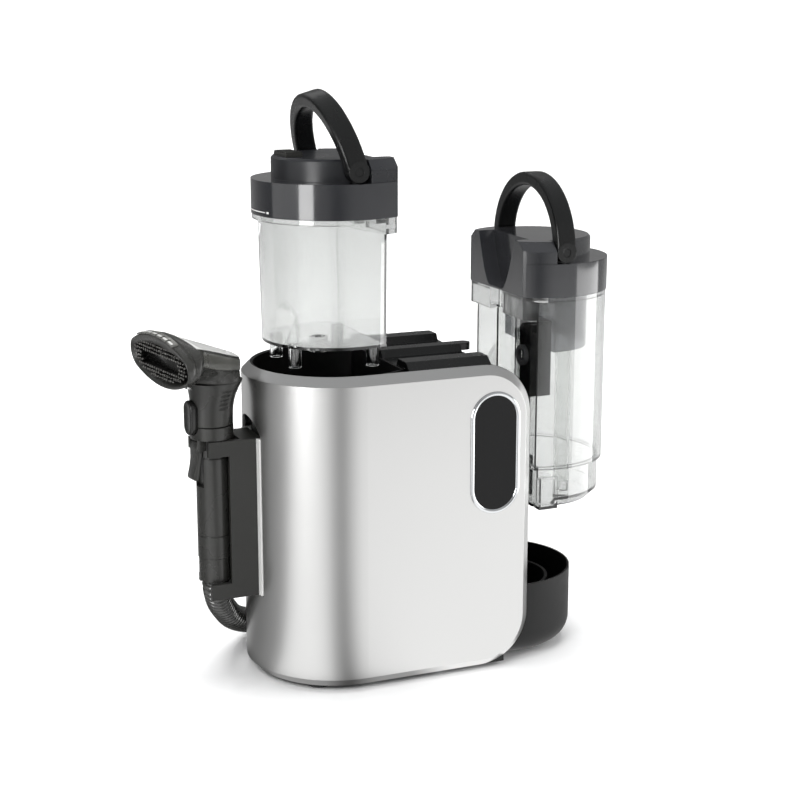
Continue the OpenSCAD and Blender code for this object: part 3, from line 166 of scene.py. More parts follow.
@dataclass(frozen=True)
class Finish:
    """A surface finish with a solid colour, a grain and small unevenness of its gloss.

    The mottle and the tint are how far the gloss and the colour wander, and edge_mm is the
    radius that sharp edges are shaded with.
    """

    name: str
    colour: str
    roughness: float
    metallic: float = 0.0
    ior: float = 1.5
    grain: Grain = Grain.SATIN
    grain_mm: float = 0.9
    mottle: float = 0.06
    coat: float = 0.0
    edge_mm: float = 0.6
    tint: float = 0.06

    def material(self) -> bpy.types.Material:
        """Builds the node material, or finds the one built before.

        Returns:
            The material.
        """
        made = bpy.data.materials.get(self.name)
        if made is None:
            made = bpy.data.materials.new(self.name)
            made.use_nodes = True
            made.node_tree.nodes.clear()
            self.lay_nodes(made.node_tree)
        return made

    def lay_nodes(self, tree: bpy.types.NodeTree) -> None:
        """Fills a material with the finish's nodes.

        Args:
            tree: Node tree of the material.
        """
        cloud = add_noise(tree, CLOUD_MM, 4.0)
        low, high = max(self.roughness - self.mottle, 0.02), self.roughness + self.mottle
        gloss = {"Value": cloud, "From Min": 0.3, "From Max": 0.7, "To Min": low, "To Max": high}
        base = linear(self.colour)[:3]
        tints = {
            "Factor": cloud,
            "A": (*(c * (1 - self.tint) for c in base), 1.0),
            "B": (*(min(c * (1 + self.tint), 1.0) for c in base), 1.0),
        }
        edge = add_node(tree, "ShaderNodeBevel", {"samples": 4}, {"Radius": self.edge_mm * MM})
        grain = {
            "Height": add_noise(tree, self.grain_mm, 2.0),
            "Normal": edge.outputs["Normal"],
            "Strength": self.grain.value,
            "Distance": GRAIN_DEPTH_MM * MM,
        }
        colour = add_node(tree, "ShaderNodeMix", {"data_type": "RGBA"}, tints)
        shader = add_node(
            tree,
            "ShaderNodeBsdfPrincipled",
            inputs={
                "Base Color": colour.outputs["Result"],
                "Roughness": add_node(tree, "ShaderNodeMapRange", inputs=gloss).outputs["Result"],
                "Normal": add_node(tree, "ShaderNodeBump", inputs=grain).outputs["Normal"],
                "Metallic": self.metallic,
                "IOR": self.ior,
                "Coat Weight": self.coat,
                "Coat Roughness": COAT_ROUGHNESS,
            },
        )
        add_node(tree, "ShaderNodeOutputMaterial", inputs={"Surface": shader.outputs["BSDF"]})


@dataclass(frozen=True)
class ClearMoulding(Finish):
    """See-through styrene moulding: the light passes, the edges go grey.

    The dim value is how much light a metre of the plastic takes away.
    """

    dim: float = 0.0

    def lay_nodes(self, tree: bpy.types.NodeTree) -> None:
        """Fills a material with a clear shader that has faint flow marks.

        Args:
            tree: Node tree of the material.
        """
        marks = {
            "Height": add_noise(tree, FLOW_MM, 2.0),
            "Strength": FLOW_STRENGTH,
            "Distance": FLOW_DEPTH_MM * MM,
        }
        shader = add_node(
            tree,
            "ShaderNodeBsdfPrincipled",
            inputs={
                "Base Color": linear(self.colour),
                "Roughness": self.roughness,
                "Normal": add_node(tree, "ShaderNodeBump", inputs=marks).outputs["Normal"],
                "IOR": self.ior,
                "Transmission Weight": 1.0,
                "Coat Weight": self.coat,
                "Coat Roughness": CLEAR_COAT_ROUGHNESS,
            },
        )
        dark = {"Color": linear(EDGE_GREY), "Density": self.dim}
        depth = add_node(tree, "ShaderNodeVolumeAbsorption", inputs=dark)
        ends = {"Surface": shader.outputs["BSDF"], "Volume": depth.outputs["Volume"]}
        add_node(tree, "ShaderNodeOutputMaterial", inputs=ends)


# Aluminium flake lacquer on moulded ABS: a soft metal sheen with stretched highlights
SILVER_LACQUER = Finish(
    "silver_lacquer_on_abs", "#d9d9d8", 0.29, metallic=1.0, grain=Grain.FINE, grain_mm=0.5,
    mottle=0.008, tint=0.008,
)
# Chrome plate on ABS: a clean mirror
CHROME_PLATE = Finish(
    "chrome_plate_on_abs", "#dfe1e3", 0.07, metallic=1.0, grain=Grain.POLISHED, mottle=0.02
)
# Satin silver on the holder's edge strips: its own pale tone, with the chrome's bright reflection
# painted in as a mostly diffuse near-white, so it is pale from any side
TRIM_PAINTED_REFLECTION = Finish(
    "satin_silver_painted_reflection_on_abs", "#f0f0ee", 0.3, metallic=0.3, grain=Grain.FINE, mottle=0.02
)
# Cast acrylic printed black on its back: deep, glassy
BLACK_ACRYLIC = Finish(
    "black_backed_acrylic", "#09090a", 0.06, ior=1.33, grain=Grain.POLISHED, mottle=0.02
)
# Spark-eroded black ABS: dull, with a fine even grain
ERODED_ABS = Finish(
    "spark_eroded_black_abs", "#0e0e0e", 0.48, ior=1.42, grain=Grain.ERODED, grain_mm=1.1
)
# Satin black ABS of the holder, the grille and the hose elbow
SATIN_ABS = Finish("satin_black_abs", "#2a2a28", 0.4, ior=1.48)
# Polished dark grey ABS of the lids: broad clear highlights
LID_ABS = Finish(
    "polished_dark_grey_abs", "#27282b", 0.16, grain=Grain.POLISHED, coat=1.0, edge_mm=1.1
)
# Satin dark grey ABS of the disc on the clean lid: one broad dim highlight
DISC_ABS = Finish("satin_dark_grey_abs", "#232427", 0.3, grain=Grain.FINE, edge_mm=1.1)
# Satin black nylon of the bails and the ridges: deep, with a soft sheen at a low angle
BAIL_NYLON = Finish("satin_black_nylon", "#0c0d0d", 0.26, grain_mm=0.8, edge_mm=1.2)
# Charcoal ABS of the spray gun: satin, with a soft wide highlight
GUN_ABS = Finish("charcoal_abs", "#2f2f2d", 0.27, ior=1.54)
# Semi-gloss charcoal ABS of the band round the gun's head and of its lip
BELT_ABS = Finish("semi_gloss_charcoal_abs", "#5c5c58", 0.24, grain=Grain.FINE, coat=0.6)
# Smoother black ABS of the steam button
BUTTON_ABS = Finish("smooth_black_abs", "#1f1f1e", 0.24, ior=1.53, grain=Grain.POLISHED)
# White pad print: a thin matt film of ink
WHITE_INK = Finish("white_pad_print", "#e8e8e6", 0.55, grain=Grain.POLISHED, edge_mm=0.05)
# Corrugated black PVC of the hose: glossy, so that each rib catches a line of light
HOSE_PVC = Finish(
    "corrugated_black_pvc", "#343432", 0.22, ior=1.55, grain=Grain.FINE, coat=1.0
)
# Moulded black rubber of feet and seals
RUBBER = Finish("moulded_black_rubber", "#242526", 0.62, ior=1.52, grain=Grain.ERODED)
# Ground steel pins and screws
STEEL = Finish("ground_steel", "#b4b7ba", 0.28, metallic=1.0, grain_mm=0.5)
# Cast aluminium of the motor
CAST_ALUMINIUM = Finish("cast_aluminium", "#8d9196", 0.45, metallic=1.0, grain=Grain.ERODED)
# Lacquered circuit board
BOARD = Finish("green_circuit_board", "#1f5a3a", 0.35)
# Closed-cell foam of the float
FOAM = Finish("closed_cell_foam", "#d9d4c8", 0.7, grain=Grain.ERODED, grain_mm=1.6)
# Black nylon filament
FILAMENT = Finish("black_nylon_filament", "#1b1b1a", 0.26, ior=1.53, edge_mm=0.1)
# Cut ends of the filament: painted pale as a highlight
FILAMENT_TIP_HIGHLIGHT = Finish("nylon_tips_painted_highlight", "#7b7a77", 0.4, edge_mm=0.1)
# Clear styrene of the vessels and the spray nozzle: glassy, with grey edges
CLEAR_SAN = ClearMoulding("clear_styrene", "#dcdddc", 0.03, ior=1.42, coat=1.0, dim=14.0)
# Thin clear tube in the dirty tank: almost unseen but for its edges
CLEAR_TUBE = ClearMoulding("clear_styrene_tube", "#f4f5f4", 0.03, ior=1.2, coat=0.3, dim=4.0)
# Smoked styrene of the baffle behind the clear wall: grey, but light passes
SMOKED_SAN = ClearMoulding("smoked_styrene", "#7d7f83", 0.12, ior=1.3, coat=0.5, dim=14.0)
# Pale styrene of the crown sheet and the lip windows: its almost white colour is a painted
# reflection on the crown and partly a painted highlight on the windows, with a soft gloss
PAINTED_REFLECTION_SAN = Finish("styrene_painted_reflection", "#cdcdcb", 0.22, grain=Grain.POLISHED, tint=0.03)

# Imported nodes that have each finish
FINISHED_NODES: dict[Finish, str] = {
    SILVER_LACQUER: "wrap_shell bay_cheeks",
    CHROME_PLATE: "window_bezel",
    # Holder trim: pale colour with its bright reflection painted in
    TRIM_PAINTED_REFLECTION: "holder_trim",
    BLACK_ACRYLIC: "window_panel",
    ERODED_ABS: (
        "tank_well motor_tower dock_cup base_plate valve_post float_cage clean_valve "
        "motor_mount suction_duct fan_impeller"
    ),
    BAIL_NYLON: "ridge_cover clean_bail dirty_bail clean_bail_pins dirty_bail_pins",
    SATIN_ABS: "rear_grille holder_bracket hose_elbow cord_gland filler_tab",
    LID_ABS: "clean_lid dirty_lid",
    SMOKED_SAN: "baffle_skirt",
    CLEAR_SAN: "clean_vessel dirty_vessel dirty_foot spray_nozzle",
    CLEAR_TUBE: "standpipe",
    BELT_ABS: "nozzle_lip",
    RUBBER: "feet dock_seal intake_seal clean_lid_seal dirty_lid_seal",
    GUN_ABS: "trigger_pin gun_grip gun_neck gun_head trigger steam_button hose_cuff",
    STEEL: "motor_shaft case_screws steam_boiler feed_pipe",
    CAST_ALUMINIUM: "suction_motor water_pump",
    BOARD: "control_board",
    FOAM: "float_block",
    HOSE_PVC: "suction_hose",
    FILAMENT: "brush_plate bristles",
}
NODE_FINISHES: dict[str, Finish] = {
    node: finish for finish, nodes in FINISHED_NODES.items() for node in nodes.split()
}


def mesh_object(
    name: str,
    points: list[Vector],
    faces: list[Face],
    finishes: list[Finish],
    picks: list[int] | None = None,
) -> bpy.types.Object:
    """Makes a smooth-shaded mesh object in the scene.

    Args:
        name: Name of the piece.
        points: Vertex positions in metres.
        faces: Vertex indices of each face.
        finishes: Finishes of the piece.
        picks: Finish number of each face, or None for the first one everywhere.

    Returns:
        The linked object.
    """
    mesh = bpy.data.meshes.new(name)
    mesh.from_pydata(points, [], faces)
    mesh.polygons.foreach_set("use_smooth", [True] * len(mesh.polygons))
    for finish in finishes:
        mesh.materials.append(finish.material())
    if picks is not None:
        mesh.polygons.foreach_set("material_index", picks)
    mesh.update()
    piece = bpy.data.objects.new(name, mesh)
    bpy.context.scene.collection.objects.link(piece)
    LOG.info("%s: %d faces, %s", name, len(faces), finishes[0].name)
    return piece


def loft_faces(rings: int, sides: int, flip: bool = False, first: int = 0) -> list[Face]:
    """Lists the faces of a closed tube of rings.

    Args:
        rings: Number of rings.
        sides: Points in each ring.
        flip: Whether the faces are turned over, for rings that run the other way round.
        first: Number of the first ring's first point.

    Returns:
        Quads between the rings, then the two end faces.
    """
    faces: list[Face] = []
    for i in range(rings - 1):
        near = first + i * sides
        far = near + sides
        for k in range(sides):
            j = (k + 1) % sides
            faces.append((near + k, near + j, far + j, far + k))
    last = first + (rings - 1) * sides
    faces.append(tuple(reversed(range(first, first + sides))))
    faces.append(tuple(range(last, last + sides)))
    return [face[::-1] for face in faces] if flip else faces


def flatten(rings: list[list[Vector]]) -> list[Vector]:
    """Gives the points of all rings in one list."""
    return [point for ring in rings for point in ring]


def loft(
    name: str, rings: list[list[Vector]], finish: Finish, flip: bool = False
) -> bpy.types.Object:
    """Makes a closed tube through rings that have equally many points."""
    faces = loft_faces(len(rings), len(rings[0]), flip)
    return mesh_object(name, flatten(rings), faces, [finish])


def both_sides(half: list[Flat]) -> list[Flat]:
    """Closes an outline by adding the mirror image of its right half."""
    return half + [(-y, z) for y, z in half[-2:0:-1]]


def round_trip(count: int) -> list[float]:
    """Gives the angles of points spread evenly round a circle."""
    return [2 * math.pi * k / count for k in range(count)]


def bow(at: float, least: float = 0.0) -> float:
    """Gives the height of a unit half circle at a place, with its square kept over a limit."""
    return math.sqrt(max(1.0 - at**2, least))


def facing(at: Point, aim: Point) -> Euler:
    """Gives the rotation of a lamp or a camera that stands at one place and looks at another."""
    return (Vector(aim) - Vector(at)).to_track_quat("-Z", "Y").to_euler()


def ease(stops: Sequence[Stop], at: float) -> float:
    """Reads a smooth value between stops.

    Args:
        stops: Places and their values, in order.
        at: Place to read.

    Returns:
        The value there, with no corner at a stop.
    """
    if at <= stops[0][0]:
        return stops[0][1]
    for k, ((a, va), (b, vb)) in enumerate(zip(stops, stops[1:])):
        if at <= b:
            before = stops[max(k - 1, 0)]
            after = stops[min(k + 2, len(stops) - 1)]
            t = (at - a) / (b - a)
            ma = (vb - before[1]) / (b - before[0]) * (b - a)
            mb = (after[1] - va) / (after[0] - a) * (b - a)
            return (
                va * (2 * t**3 - 3 * t**2 + 1)
                + ma * (t**3 - 2 * t**2 + t)
                + vb * (3 * t**2 - 2 * t**3)
                + mb * (t**3 - t**2)
            )
    return stops[-1][1]


def smooth_line(points: list[Vector], fine: int) -> list[Vector]:
    """Runs a smooth curve through route points.

    Args:
        points: Points that the curve passes through.
        fine: Steps between neighbouring points.

    Returns:
        Closely spaced points on the curve.
    """
    last = len(points) - 1
    out: list[Vector] = []
    for i in range(last):
        a, b, c, d = (points[min(max(k, 0), last)] for k in range(i - 1, i + 3))
        for j in range(fine):
            t = j / fine
            bend = (2 * a - 5 * b + 4 * c - d) * t**2 + (3 * b - a - 3 * c + d) * t**3
            out.append(0.5 * (2 * b + (c - a) * t + bend))
    return out + [points[last]]


@dataclass
class SuctionHose:
    """Corrugated hose from the elbow on the back, round one turn on the floor, to the gun's cuff.

    The profile is the depth of one groove at even steps, as a share of groove_mm.
    """

    route_mm: list[Point]
    origin_mm: float
    outer_mm: float = 26.0
    groove_mm: float = 3.2
    pitch_mm: float = 6.6
    sides: int = 28
    route_steps: int = 12
    profile: tuple[float, ...] = (0.0, 0.12, 0.5, 0.88, 1.0, 0.88, 0.5, 0.12)

    def rings(self) -> tuple[list[Vector], list[float], float]:
        """Spaces rings along the hose's middle line.

        Returns:
            Ring centres, ring radii and the hose's length.
        """
        placed = [Vector((x - self.origin_mm, y, z)) * MM for x, y, z in self.route_mm]
        line = smooth_line(placed, self.route_steps)
        along = [0.0]
        for a, b in zip(line, line[1:]):
            along.append(along[-1] + (b - a).length)
        total = along[-1]
        plain = self.outer_mm * MM / 2
        ribs = round((total - 2 * plain) / (self.pitch_mm * MM))
        count = ribs * len(self.profile)
        spots = [0.0] + [plain + (total - 2 * plain) * i / count for i in range(count + 1)]
        spots.append(total)
        centres: list[Vector] = []
        radii: list[float] = []
        k = 0
        for n, spot in enumerate(spots):
            while k < len(line) - 2 and along[k + 1] < spot:
                k += 1
            share = (spot - along[k]) / (along[k + 1] - along[k])
            centres.append(line[k].lerp(line[k + 1], share))
            at_end = n in (0, len(spots) - 1)
            depth = 0.0 if at_end else self.profile[(n - 1) % len(self.profile)]
            radii.append((self.outer_mm / 2 - depth * self.groove_mm) * MM)
        return centres, radii, total

    def build(self) -> None:
        centres, radii, total = self.rings()
        rings: list[list[Vector]] = []
        up = Vector((0, 0, 1))
        last = len(centres) - 1
        for i, (centre, radius) in enumerate(zip(centres, radii)):
            ahead = (centres[min(i + 1, last)] - centres[max(i - 1, 0)]).normalized()
            up = (up - ahead * up.dot(ahead)).normalized()
            side = ahead.cross(up)
            turns = [up * math.cos(a) + side * math.sin(a) for a in round_trip(self.sides)]
            rings.append([centre + radius * turn for turn in turns])
        hose = loft("corrugated_hose", rings, HOSE_PVC)
        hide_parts("suction_hose")
        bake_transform(hose)
        LOG.info("hose: %.3f m", total)


# Points on the crown, the belt and the underside of half a ring of the gun's head
CROWN_POINTS, BELT_POINTS, UNDER_POINTS = 14, 8, 15
# Inset and drop of the points in the grooves over and under its belt
OVER_BELT: tuple[Flat, ...] = ((1.5, 0.7), (0.4, 1.1))
UNDER_BELT: tuple[Flat, ...] = ((1.3, 0.2), (1.4, 1.0))
# Points on a long arc and on the round end of half the mouth's outline
ARC_POINTS, END_POINTS = 14, 12
# Share of the length and radius of each ring of a brush filament, and its points
FILAMENT_RINGS: tuple[Flat, ...] = ((0.0, 0.42), (0.9, 0.36), (1.0, 0.12))
FILAMENT_SIDES = 5


@dataclass
class SprayGun:
    """Smooth mouldings of the spray gun.

    They are the head, a thin pale sheet on its crown whose colour is a painted reflection, the lip
    windows, whose pale colour is partly their own and partly a painted highlight, the neck, the
    button, the trigger and the brush. Lengths are millimetres and angles radians. Places are taken
    from the grip's axis at the collar's underside, with x towards the back of the gun and z up.
    """

    at_mm: Point
    mouth_w: float = 122.0
    mouth_h: float = 50.0
    mouth_end: float = 15.5
    mouth_reach: float = 42.0
    mouth_z: float = 79.0
    mouth_d: float = 10.0
    lip_t: float = 1.6
    lip_proud: float = 1.0
    lip_teeth: int = 7
    # Half of the lip's slotted stretch, as a share of the mouth's width
    lip_share: float = 0.3
    tilt: float = math.radians(8.0)
    turn: float = math.radians(10.0)
    # Half width, upper edge, belt's foot and underside of the head along it
    head_stops: tuple[tuple[Stop, ...], ...] = (
        (
            (-42.0, 61.0), (-30.0, 51.5), (-20.0, 42.5), (-10.0, 34.5), (0.0, 28.5), (10.0, 24.5),
            (18.0, 20.5),
        ),
        ((-42.0, 97.5), (-25.0, 91.8), (-10.0, 86.5), (5.0, 81.3), (26.0, 74.5)),
        ((-42.0, 83.0), (-25.0, 76.5), (-10.0, 71.0), (5.0, 67.5), (26.0, 64.0)),
        ((-42.0, 57.0), (-20.0, 55.5), (0.0, 54.0), (26.0, 53.0)),
    )
    # Half width of the underside, which is at least the oval over the neck
    foot_stops: tuple[Stop, ...] = ((-42.0, 44.0), (-25.0, 16.0), (-18.0, 8.0))
    foot_x: float = 4.0
    foot_long: float = 27.0
    foot_half: float = 24.0
    # Where the round back starts, its half width there and its depth
    back_x: float = 18.0
    back_half: float = 20.5
    back_deep: float = 8.2
    back_places: tuple[float, ...] = (19.5, 21.0, 22.5, 23.8, 24.8, 25.6, 26.1)
    # First and even places of the rings in front of the back
    head_from: float = -40.0
    place_step: float = 2.4
    place_count: int = 25
    # Rise of the crown, and the half width from which it has all of it
    crown_rise: float = 3.5
    crown_full: float = 30.0
    crown_inset: float = 1.3
    crown_bend: float = 2.2
    # Pale sheet on the crown, whose colour is a painted reflection: its ends, thickness and reach
    # to each side in points
    cover_from: float = -36.0
    cover_to: float = 23.4
    cover_t: float = 1.1
    cover_reach: int = 12
    belt_bulge: float = 0.5
    belt_full: float = 20.0
    belt_drop: float = 1.5
    # How the side under the belt runs in to the foot, and where it closes under it
    side_inset: float = 0.6
    side_run: float = 1.6
    side_bend: float = 0.8
    side_close: float = 0.62
    low_run: float = 1.5
    # Inset of the outline behind the mouth, and the length in which it becomes the head's own
    ring_inset: float = 1.0
    merge: float = 11.0
    # Height of the neck's rings, their half sizes and their shift to the back
    neck_stops: tuple[tuple[float, float, float, float], ...] = (
        (12.3, 20.4, 19.0, 0.0), (20.0, 20.4, 19.0, 0.2), (32.0, 20.9, 19.3, 0.8),
        (42.0, 22.8, 20.8, 2.0), (50.0, 25.6, 23.0, 3.4), (53.9, 26.8, 23.8, 4.0),
    )
    neck_sides: int = 64
    # Heights between which the vent slots lie, their angle, half width and depth
    vent_span: tuple[float, float] = (29.0, 47.0)
    vent_angle: float = math.radians(281)
    vent_half: float = 0.2
    vent_deep: float = 1.8
    # Face of the steam button, its end radius and half the run between its ends
    button_at: Flat = (-25.0, 21.0)
    button_r: float = 8.5
    button_run: float = 8.0
    button_sides: int = 56
    trigger_pivot: Flat = (-15.5, -5.0)
    # Brush: spacing, drop and number of tufts and filaments, then the rim, slot and lip kept clear
    tuft_pitch: Flat = (4.6, 3.7)
    tuft_drop: float = 1.2
    tuft_rows: int = 5
    tuft_cols: int = 12
    tuft_count: int = 7
    tuft_foot: float = 2.2
    brush_inset: float = 5.4
    brush_room: float = 0.6
    slot_half: float = 34.0
    slot_r: float = 5.2
    lip_room: float = 6.0
    plate_inset: float = 3.9
    plate_span: tuple[float, float] = (1.0, 2.6)

    def place(self, x: float, y: float, z: float) -> Vector:
        """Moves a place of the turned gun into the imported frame, in metres."""
        c, s = math.cos(self.turn), math.sin(self.turn)
        return (Vector((x * c - y * s, x * s + y * c, z)) + Vector(self.at_mm)) * MM

    def mouth_place(self, out: float, across: float, up: float) -> Vector:
        """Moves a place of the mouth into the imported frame.

        Args:
            out: Distance out of the mouth.
            across: Distance across it.
            up: Distance over its middle.

        Returns:
            The place in metres.
        """
        c, s = math.cos(self.tilt), math.sin(self.tilt)
        x = -self.mouth_reach - out * c - up * s
        z = self.mouth_z - out * s + up * c
        return self.place(x, across, z)

    def mouth_arcs(self, inset: float) -> tuple[float, float, float, float]:
        """Half width, half height, end radius and long radius of the mouth's inset outline."""
        w, h, r = self.mouth_w / 2 - inset, self.mouth_h / 2 - inset, self.mouth_end - inset
        return w, h, r, ((w - r) ** 2 + h**2 - r**2) / (2 * (h - r))

    def oval(self, inset: float, lift: float = 0.0) -> list[Flat]:
        """Points of the mouth's outline, in the order of a ring of the head.

        Args:
            inset: Distance inside the outline.
            lift: Extra inset at the upper edge.

        Returns:
            Across and up of each point, from the top round.
        """
        w, h, r, big = self.mouth_arcs(inset)
        turn = math.atan2(w - r, big - h)
        half: list[Flat] = []
        for k in range(ARC_POINTS):
            b = turn * k / ARC_POINTS
            z = h - big + big * math.cos(b)
            half.append((big * math.sin(b), z - lift * z / h))
        for k in range(END_POINTS):
            b = turn + (math.pi - 2 * turn) * k / END_POINTS
            z = r * math.cos(b)
            half.append((w - r + r * math.sin(b), z - lift * max(z, 0.0) / h))
        for k in range(ARC_POINTS + 1):
            b = turn * (1 - k / ARC_POINTS)
            half.append((big * math.sin(b), big - h - big * math.cos(b)))
        return both_sides(half)

    def section(self, x: float) -> list[Flat]:
        """Outline of the head across one place behind the mouth.

        Args:
            x: Place along the gun.

        Returns:
            Across and height of each point, from the top round.
        """
        w, edge, belt, low = (ease(stops, x) for stops in self.head_stops)
        if x > self.back_x:
            w = self.back_half * bow((x - self.back_x) / self.back_deep, 0.0001)
        top = edge + self.crown_rise * min(1.0, w / self.crown_full)
        oval = self.foot_half * bow((x - self.foot_x) / self.foot_long)
        foot = min(w, max(oval, ease(self.foot_stops, x)))
        half: list[Flat] = []
        for k in range(CROWN_POINTS):
            share = k / (CROWN_POINTS - 1)
            y = max(w - self.crown_inset, 0.0) * share
            half.append((y, top + (edge - top) * share**self.crown_bend))
        half += [(max(w - inset, 0.0), edge - drop) for inset, drop in OVER_BELT]
        for k in range(BELT_POINTS):
            share = k / (BELT_POINTS - 1)
            bulge = self.belt_bulge * math.sin(math.pi * share) * min(w / self.belt_full, 1.0)
            start = edge - self.belt_drop
            half.append((w + bulge, start + (belt + self.belt_drop - edge) * share))
        half += [(max(w - inset, 0.0), belt - drop) for inset, drop in UNDER_BELT]
        side, under = max(w - self.side_inset, 0.0), belt - UNDER_BELT[-1][1]
        for k in range(1, UNDER_POINTS + 1):
            share = k / UNDER_POINTS
            closed = max(0.0, (share - self.side_close) / (1 - self.side_close))
            y = side + (foot - side) * min(1.0, share * self.side_run) ** self.side_bend
            y *= bow(closed)
            half.append((y, under + (low - under) * min(1.0, share * self.low_run)))
        return both_sides(half)

    def head_ring(self, x: float) -> list[Vector]:
        """One ring of the head, eased from the mouth's outline into the head's own.

        Args:
            x: Place along the gun.

        Returns:
            The ring's points in metres.
        """
        blend = min(1.0, (x + self.mouth_reach) / self.merge)
        blend = blend * blend * (3 - 2 * blend)
        c, s = math.cos(self.tilt), math.sin(self.tilt)
        ring = []
        for (y, z), (across, up) in zip(self.section(x), self.oval(self.ring_inset)):
            start = self.place(x - up * s * (1 - blend), across, self.mouth_z + up * c)
            ring.append(start.lerp(self.place(x, y, z), blend))
        return ring

    def places(self, first: float) -> list[float]:
        """Even places along the head, from the first one back."""
        return [first + self.place_step * k for k in range(self.place_count)]

    def head(self) -> None:
        """Builds the head with its rim, belt and rounded back."""
        front = self.mouth_d
        # Distance out of the mouth, inset and extra inset above, from the floor round the rim
        rim = [(front - 7.5, 3.0, 6.5), (front - 1.2, 3.0, 6.5), (front, 0.9, 1.2)]
        rim += [(front - 0.3, 0.25, 0.0), (front - 1.0, 0.0, 0.0), (0.6, 0.0, 0.0)]
        rim += [(0.2, 1.4, 0.0), (-0.9, 1.4, 0.0)]
        rings = [
            [self.mouth_place(out, y, z) for y, z in self.oval(inset, lift)]
            for out, inset, lift in rim
        ]
        for x in (*self.places(self.head_from), *self.back_places):
            rings.append(self.head_ring(x))
        sides = len(rings[0])
        faces = loft_faces(len(rings), sides, flip=True)
        first = CROWN_POINTS + len(OVER_BELT)
        right = range(first, first + BELT_POINTS - 1)
        belt = set(right) | {sides - 1 - k for k in right}
        # The belt starts three rings behind the rim, and the two end faces aren't part of it
        spans = range((len(rim) + 3) * sides, len(faces) - 2)
        picks = [int(i in spans and i % sides in belt) for i in range(len(faces))]
        head = mesh_object("head_moulding", flatten(rings), faces, [GUN_ABS, BELT_ABS], picks)
        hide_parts("gun_head")
        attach(head, Body.GUN.value)

    def crown(self) -> None:
        """Lays a thin pale sheet on the head's crown; its near-white colour is a painted
        reflection.
        """
        thick = Vector((0, 0, self.cover_t * MM))
        rings = []
        for x in self.places(self.cover_from) + [self.cover_to]:
            ring = self.head_ring(x)
            line = ring[-self.cover_reach :] + ring[: self.cover_reach + 1]
            rings.append([p - thick for p in line] + [p + 0.5 * thick for p in reversed(line)])
        # The sheet's pale colour paints the reflection of the bright room on the glossy crown
        cover = loft("crown_reflection_sheet", rings, PAINTED_REFLECTION_SAN)
        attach(cover, Body.GUN.value)

    def lip_windows(self) -> None:
        """Sets the row of steam windows into the upper lip, between its slots; their pale colour is
        partly the clear windows' own and partly a painted highlight.
        """
        _, h, _, big = self.mouth_arcs(0.0)
        big += self.lip_t
        half = self.lip_share * self.mouth_w
        pitch = 2 * half / self.lip_teeth
        front = self.mouth_d + self.lip_proud
        # Steps along a window, its start and width in a tooth, and the corners of its section
        steps, start, wide = 5, 0.16, 0.68
        corners = ((-3.0, -0.5), (-3.0, 0.2), (-0.9, 0.2), (-0.9, -0.5))
        points: list[Vector] = []
        faces: list[Face] = []
        for i in range(self.lip_teeth):
            faces += loft_faces(steps + 1, len(corners), flip=True, first=len(points))
            for k in range(steps + 1):
                y = -half + pitch * (i + start + wide * k / steps)
                up = math.sqrt(big**2 - y**2) - big + self.lip_t + h
                points += [self.mouth_place(front + out, y, up + rise) for out, rise in corners]
        # Pale windows: partly their own colour, partly a painted highlight
        windows = mesh_object("lip_windows", points, faces, [PAINTED_REFLECTION_SAN])
        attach(windows, Body.GUN.value)

    def neck(self) -> None:
        """Builds the waisted neck, with its vent slots, between the collar and the head."""
        foot, top = self.neck_stops[0][0], self.neck_stops[-1][0]
        # Height and inset of each ring: the lower edge is rounded
        levels = [(foot, 0.9), (12.35, 0.3), (12.9, 0.0)]
        levels += [(float(z), 0.0) for z in range(14, 54)] + [(top, 0.0)]
        rings = []
        for z, trim in levels:
            rx, ry, cx = (ease([(s[0], s[n]) for s in self.neck_stops], z) for n in (1, 2, 3))
            slotted = self.vent_span[0] <= z <= self.vent_span[1] and round(z / 2) % 2 == 1
            ring = []
            for a in round_trip(self.neck_sides):
                beside = abs(a - self.vent_angle) >= self.vent_half
                dent = self.vent_deep if slotted and not beside else 0.0
                x = cx + (rx - trim - dent) * math.cos(a)
                ring.append(self.place(x, (ry - trim - dent) * math.sin(a), z))
            rings.append(ring)
        neck = loft("neck_moulding", rings, GUN_ABS)
        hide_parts("gun_neck")
        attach(neck, Body.GUN.value)

    def button(self) -> None:
        """Builds the long crowned steam button with its finger dish."""
        # Inset and depth of each ring, from the hidden foot over the edge into the dish
        steps = [(0.0, 8.0), (0.0, 2.0), (0.25, 1.0), (0.9, 0.3), (2.0, 0.0), (3.4, 0.1)]
        steps += [(5.0, 0.5), (6.6, 0.75), (8.3, 0.8)]
        face, middle = self.button_at
        rings = []
        for inset, depth in steps:
            r, ring = self.button_r - inset, []
            for a in round_trip(self.button_sides):
                up = r * math.cos(a) + math.copysign(self.button_run, math.cos(a))
                ring.append(self.place(face + depth, r * math.sin(a), middle + up))
            rings.append(ring)
        button = loft("steam_button_cap", rings, BUTTON_ABS)
        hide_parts("steam_button")
        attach(button, Body.BUTTON.value)

    def trigger(self) -> None:
        """Builds the trigger blade with rounded edges."""
        plan = [(3, 3), (-3, 3.5), (-4, -4), (-4, -14), (-5.4, -23), (-7.5, -31), (-6.6, -33.2)]
        plan += [(-4.5, -34), (-1.8, -33), (-1.2, -31), (-0.2, -24), (0.3, -18), (2.2, -9), (3, -4)]
        mid_x, mid_z = (sum(p[n] for p in plan) / len(plan) for n in (0, 1))
        at_x, at_z = self.trigger_pivot
        # Place across and size of each ring, so that both edges are rounded
        edges = [(-7.5, 0.85), (-7.2, 0.95), (-6.6, 1.0), (6.6, 1.0), (7.2, 0.95), (7.5, 0.85)]
        rings = []
        for y, size in edges:
            # The ends are rounded less than the faces
            tall = 1 - (1 - size) * 0.35
            xs = [at_x + mid_x + (x - mid_x) * size for x, _ in plan]
            zs = [at_z + mid_z + (z - mid_z) * tall for _, z in plan]
            rings.append([self.place(x, y, z) for x, z in zip(xs, zs)])
        blade = loft("trigger_blade", rings, GUN_ABS, flip=True)
        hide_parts("trigger")
        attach(blade, Body.TRIGGER.value)

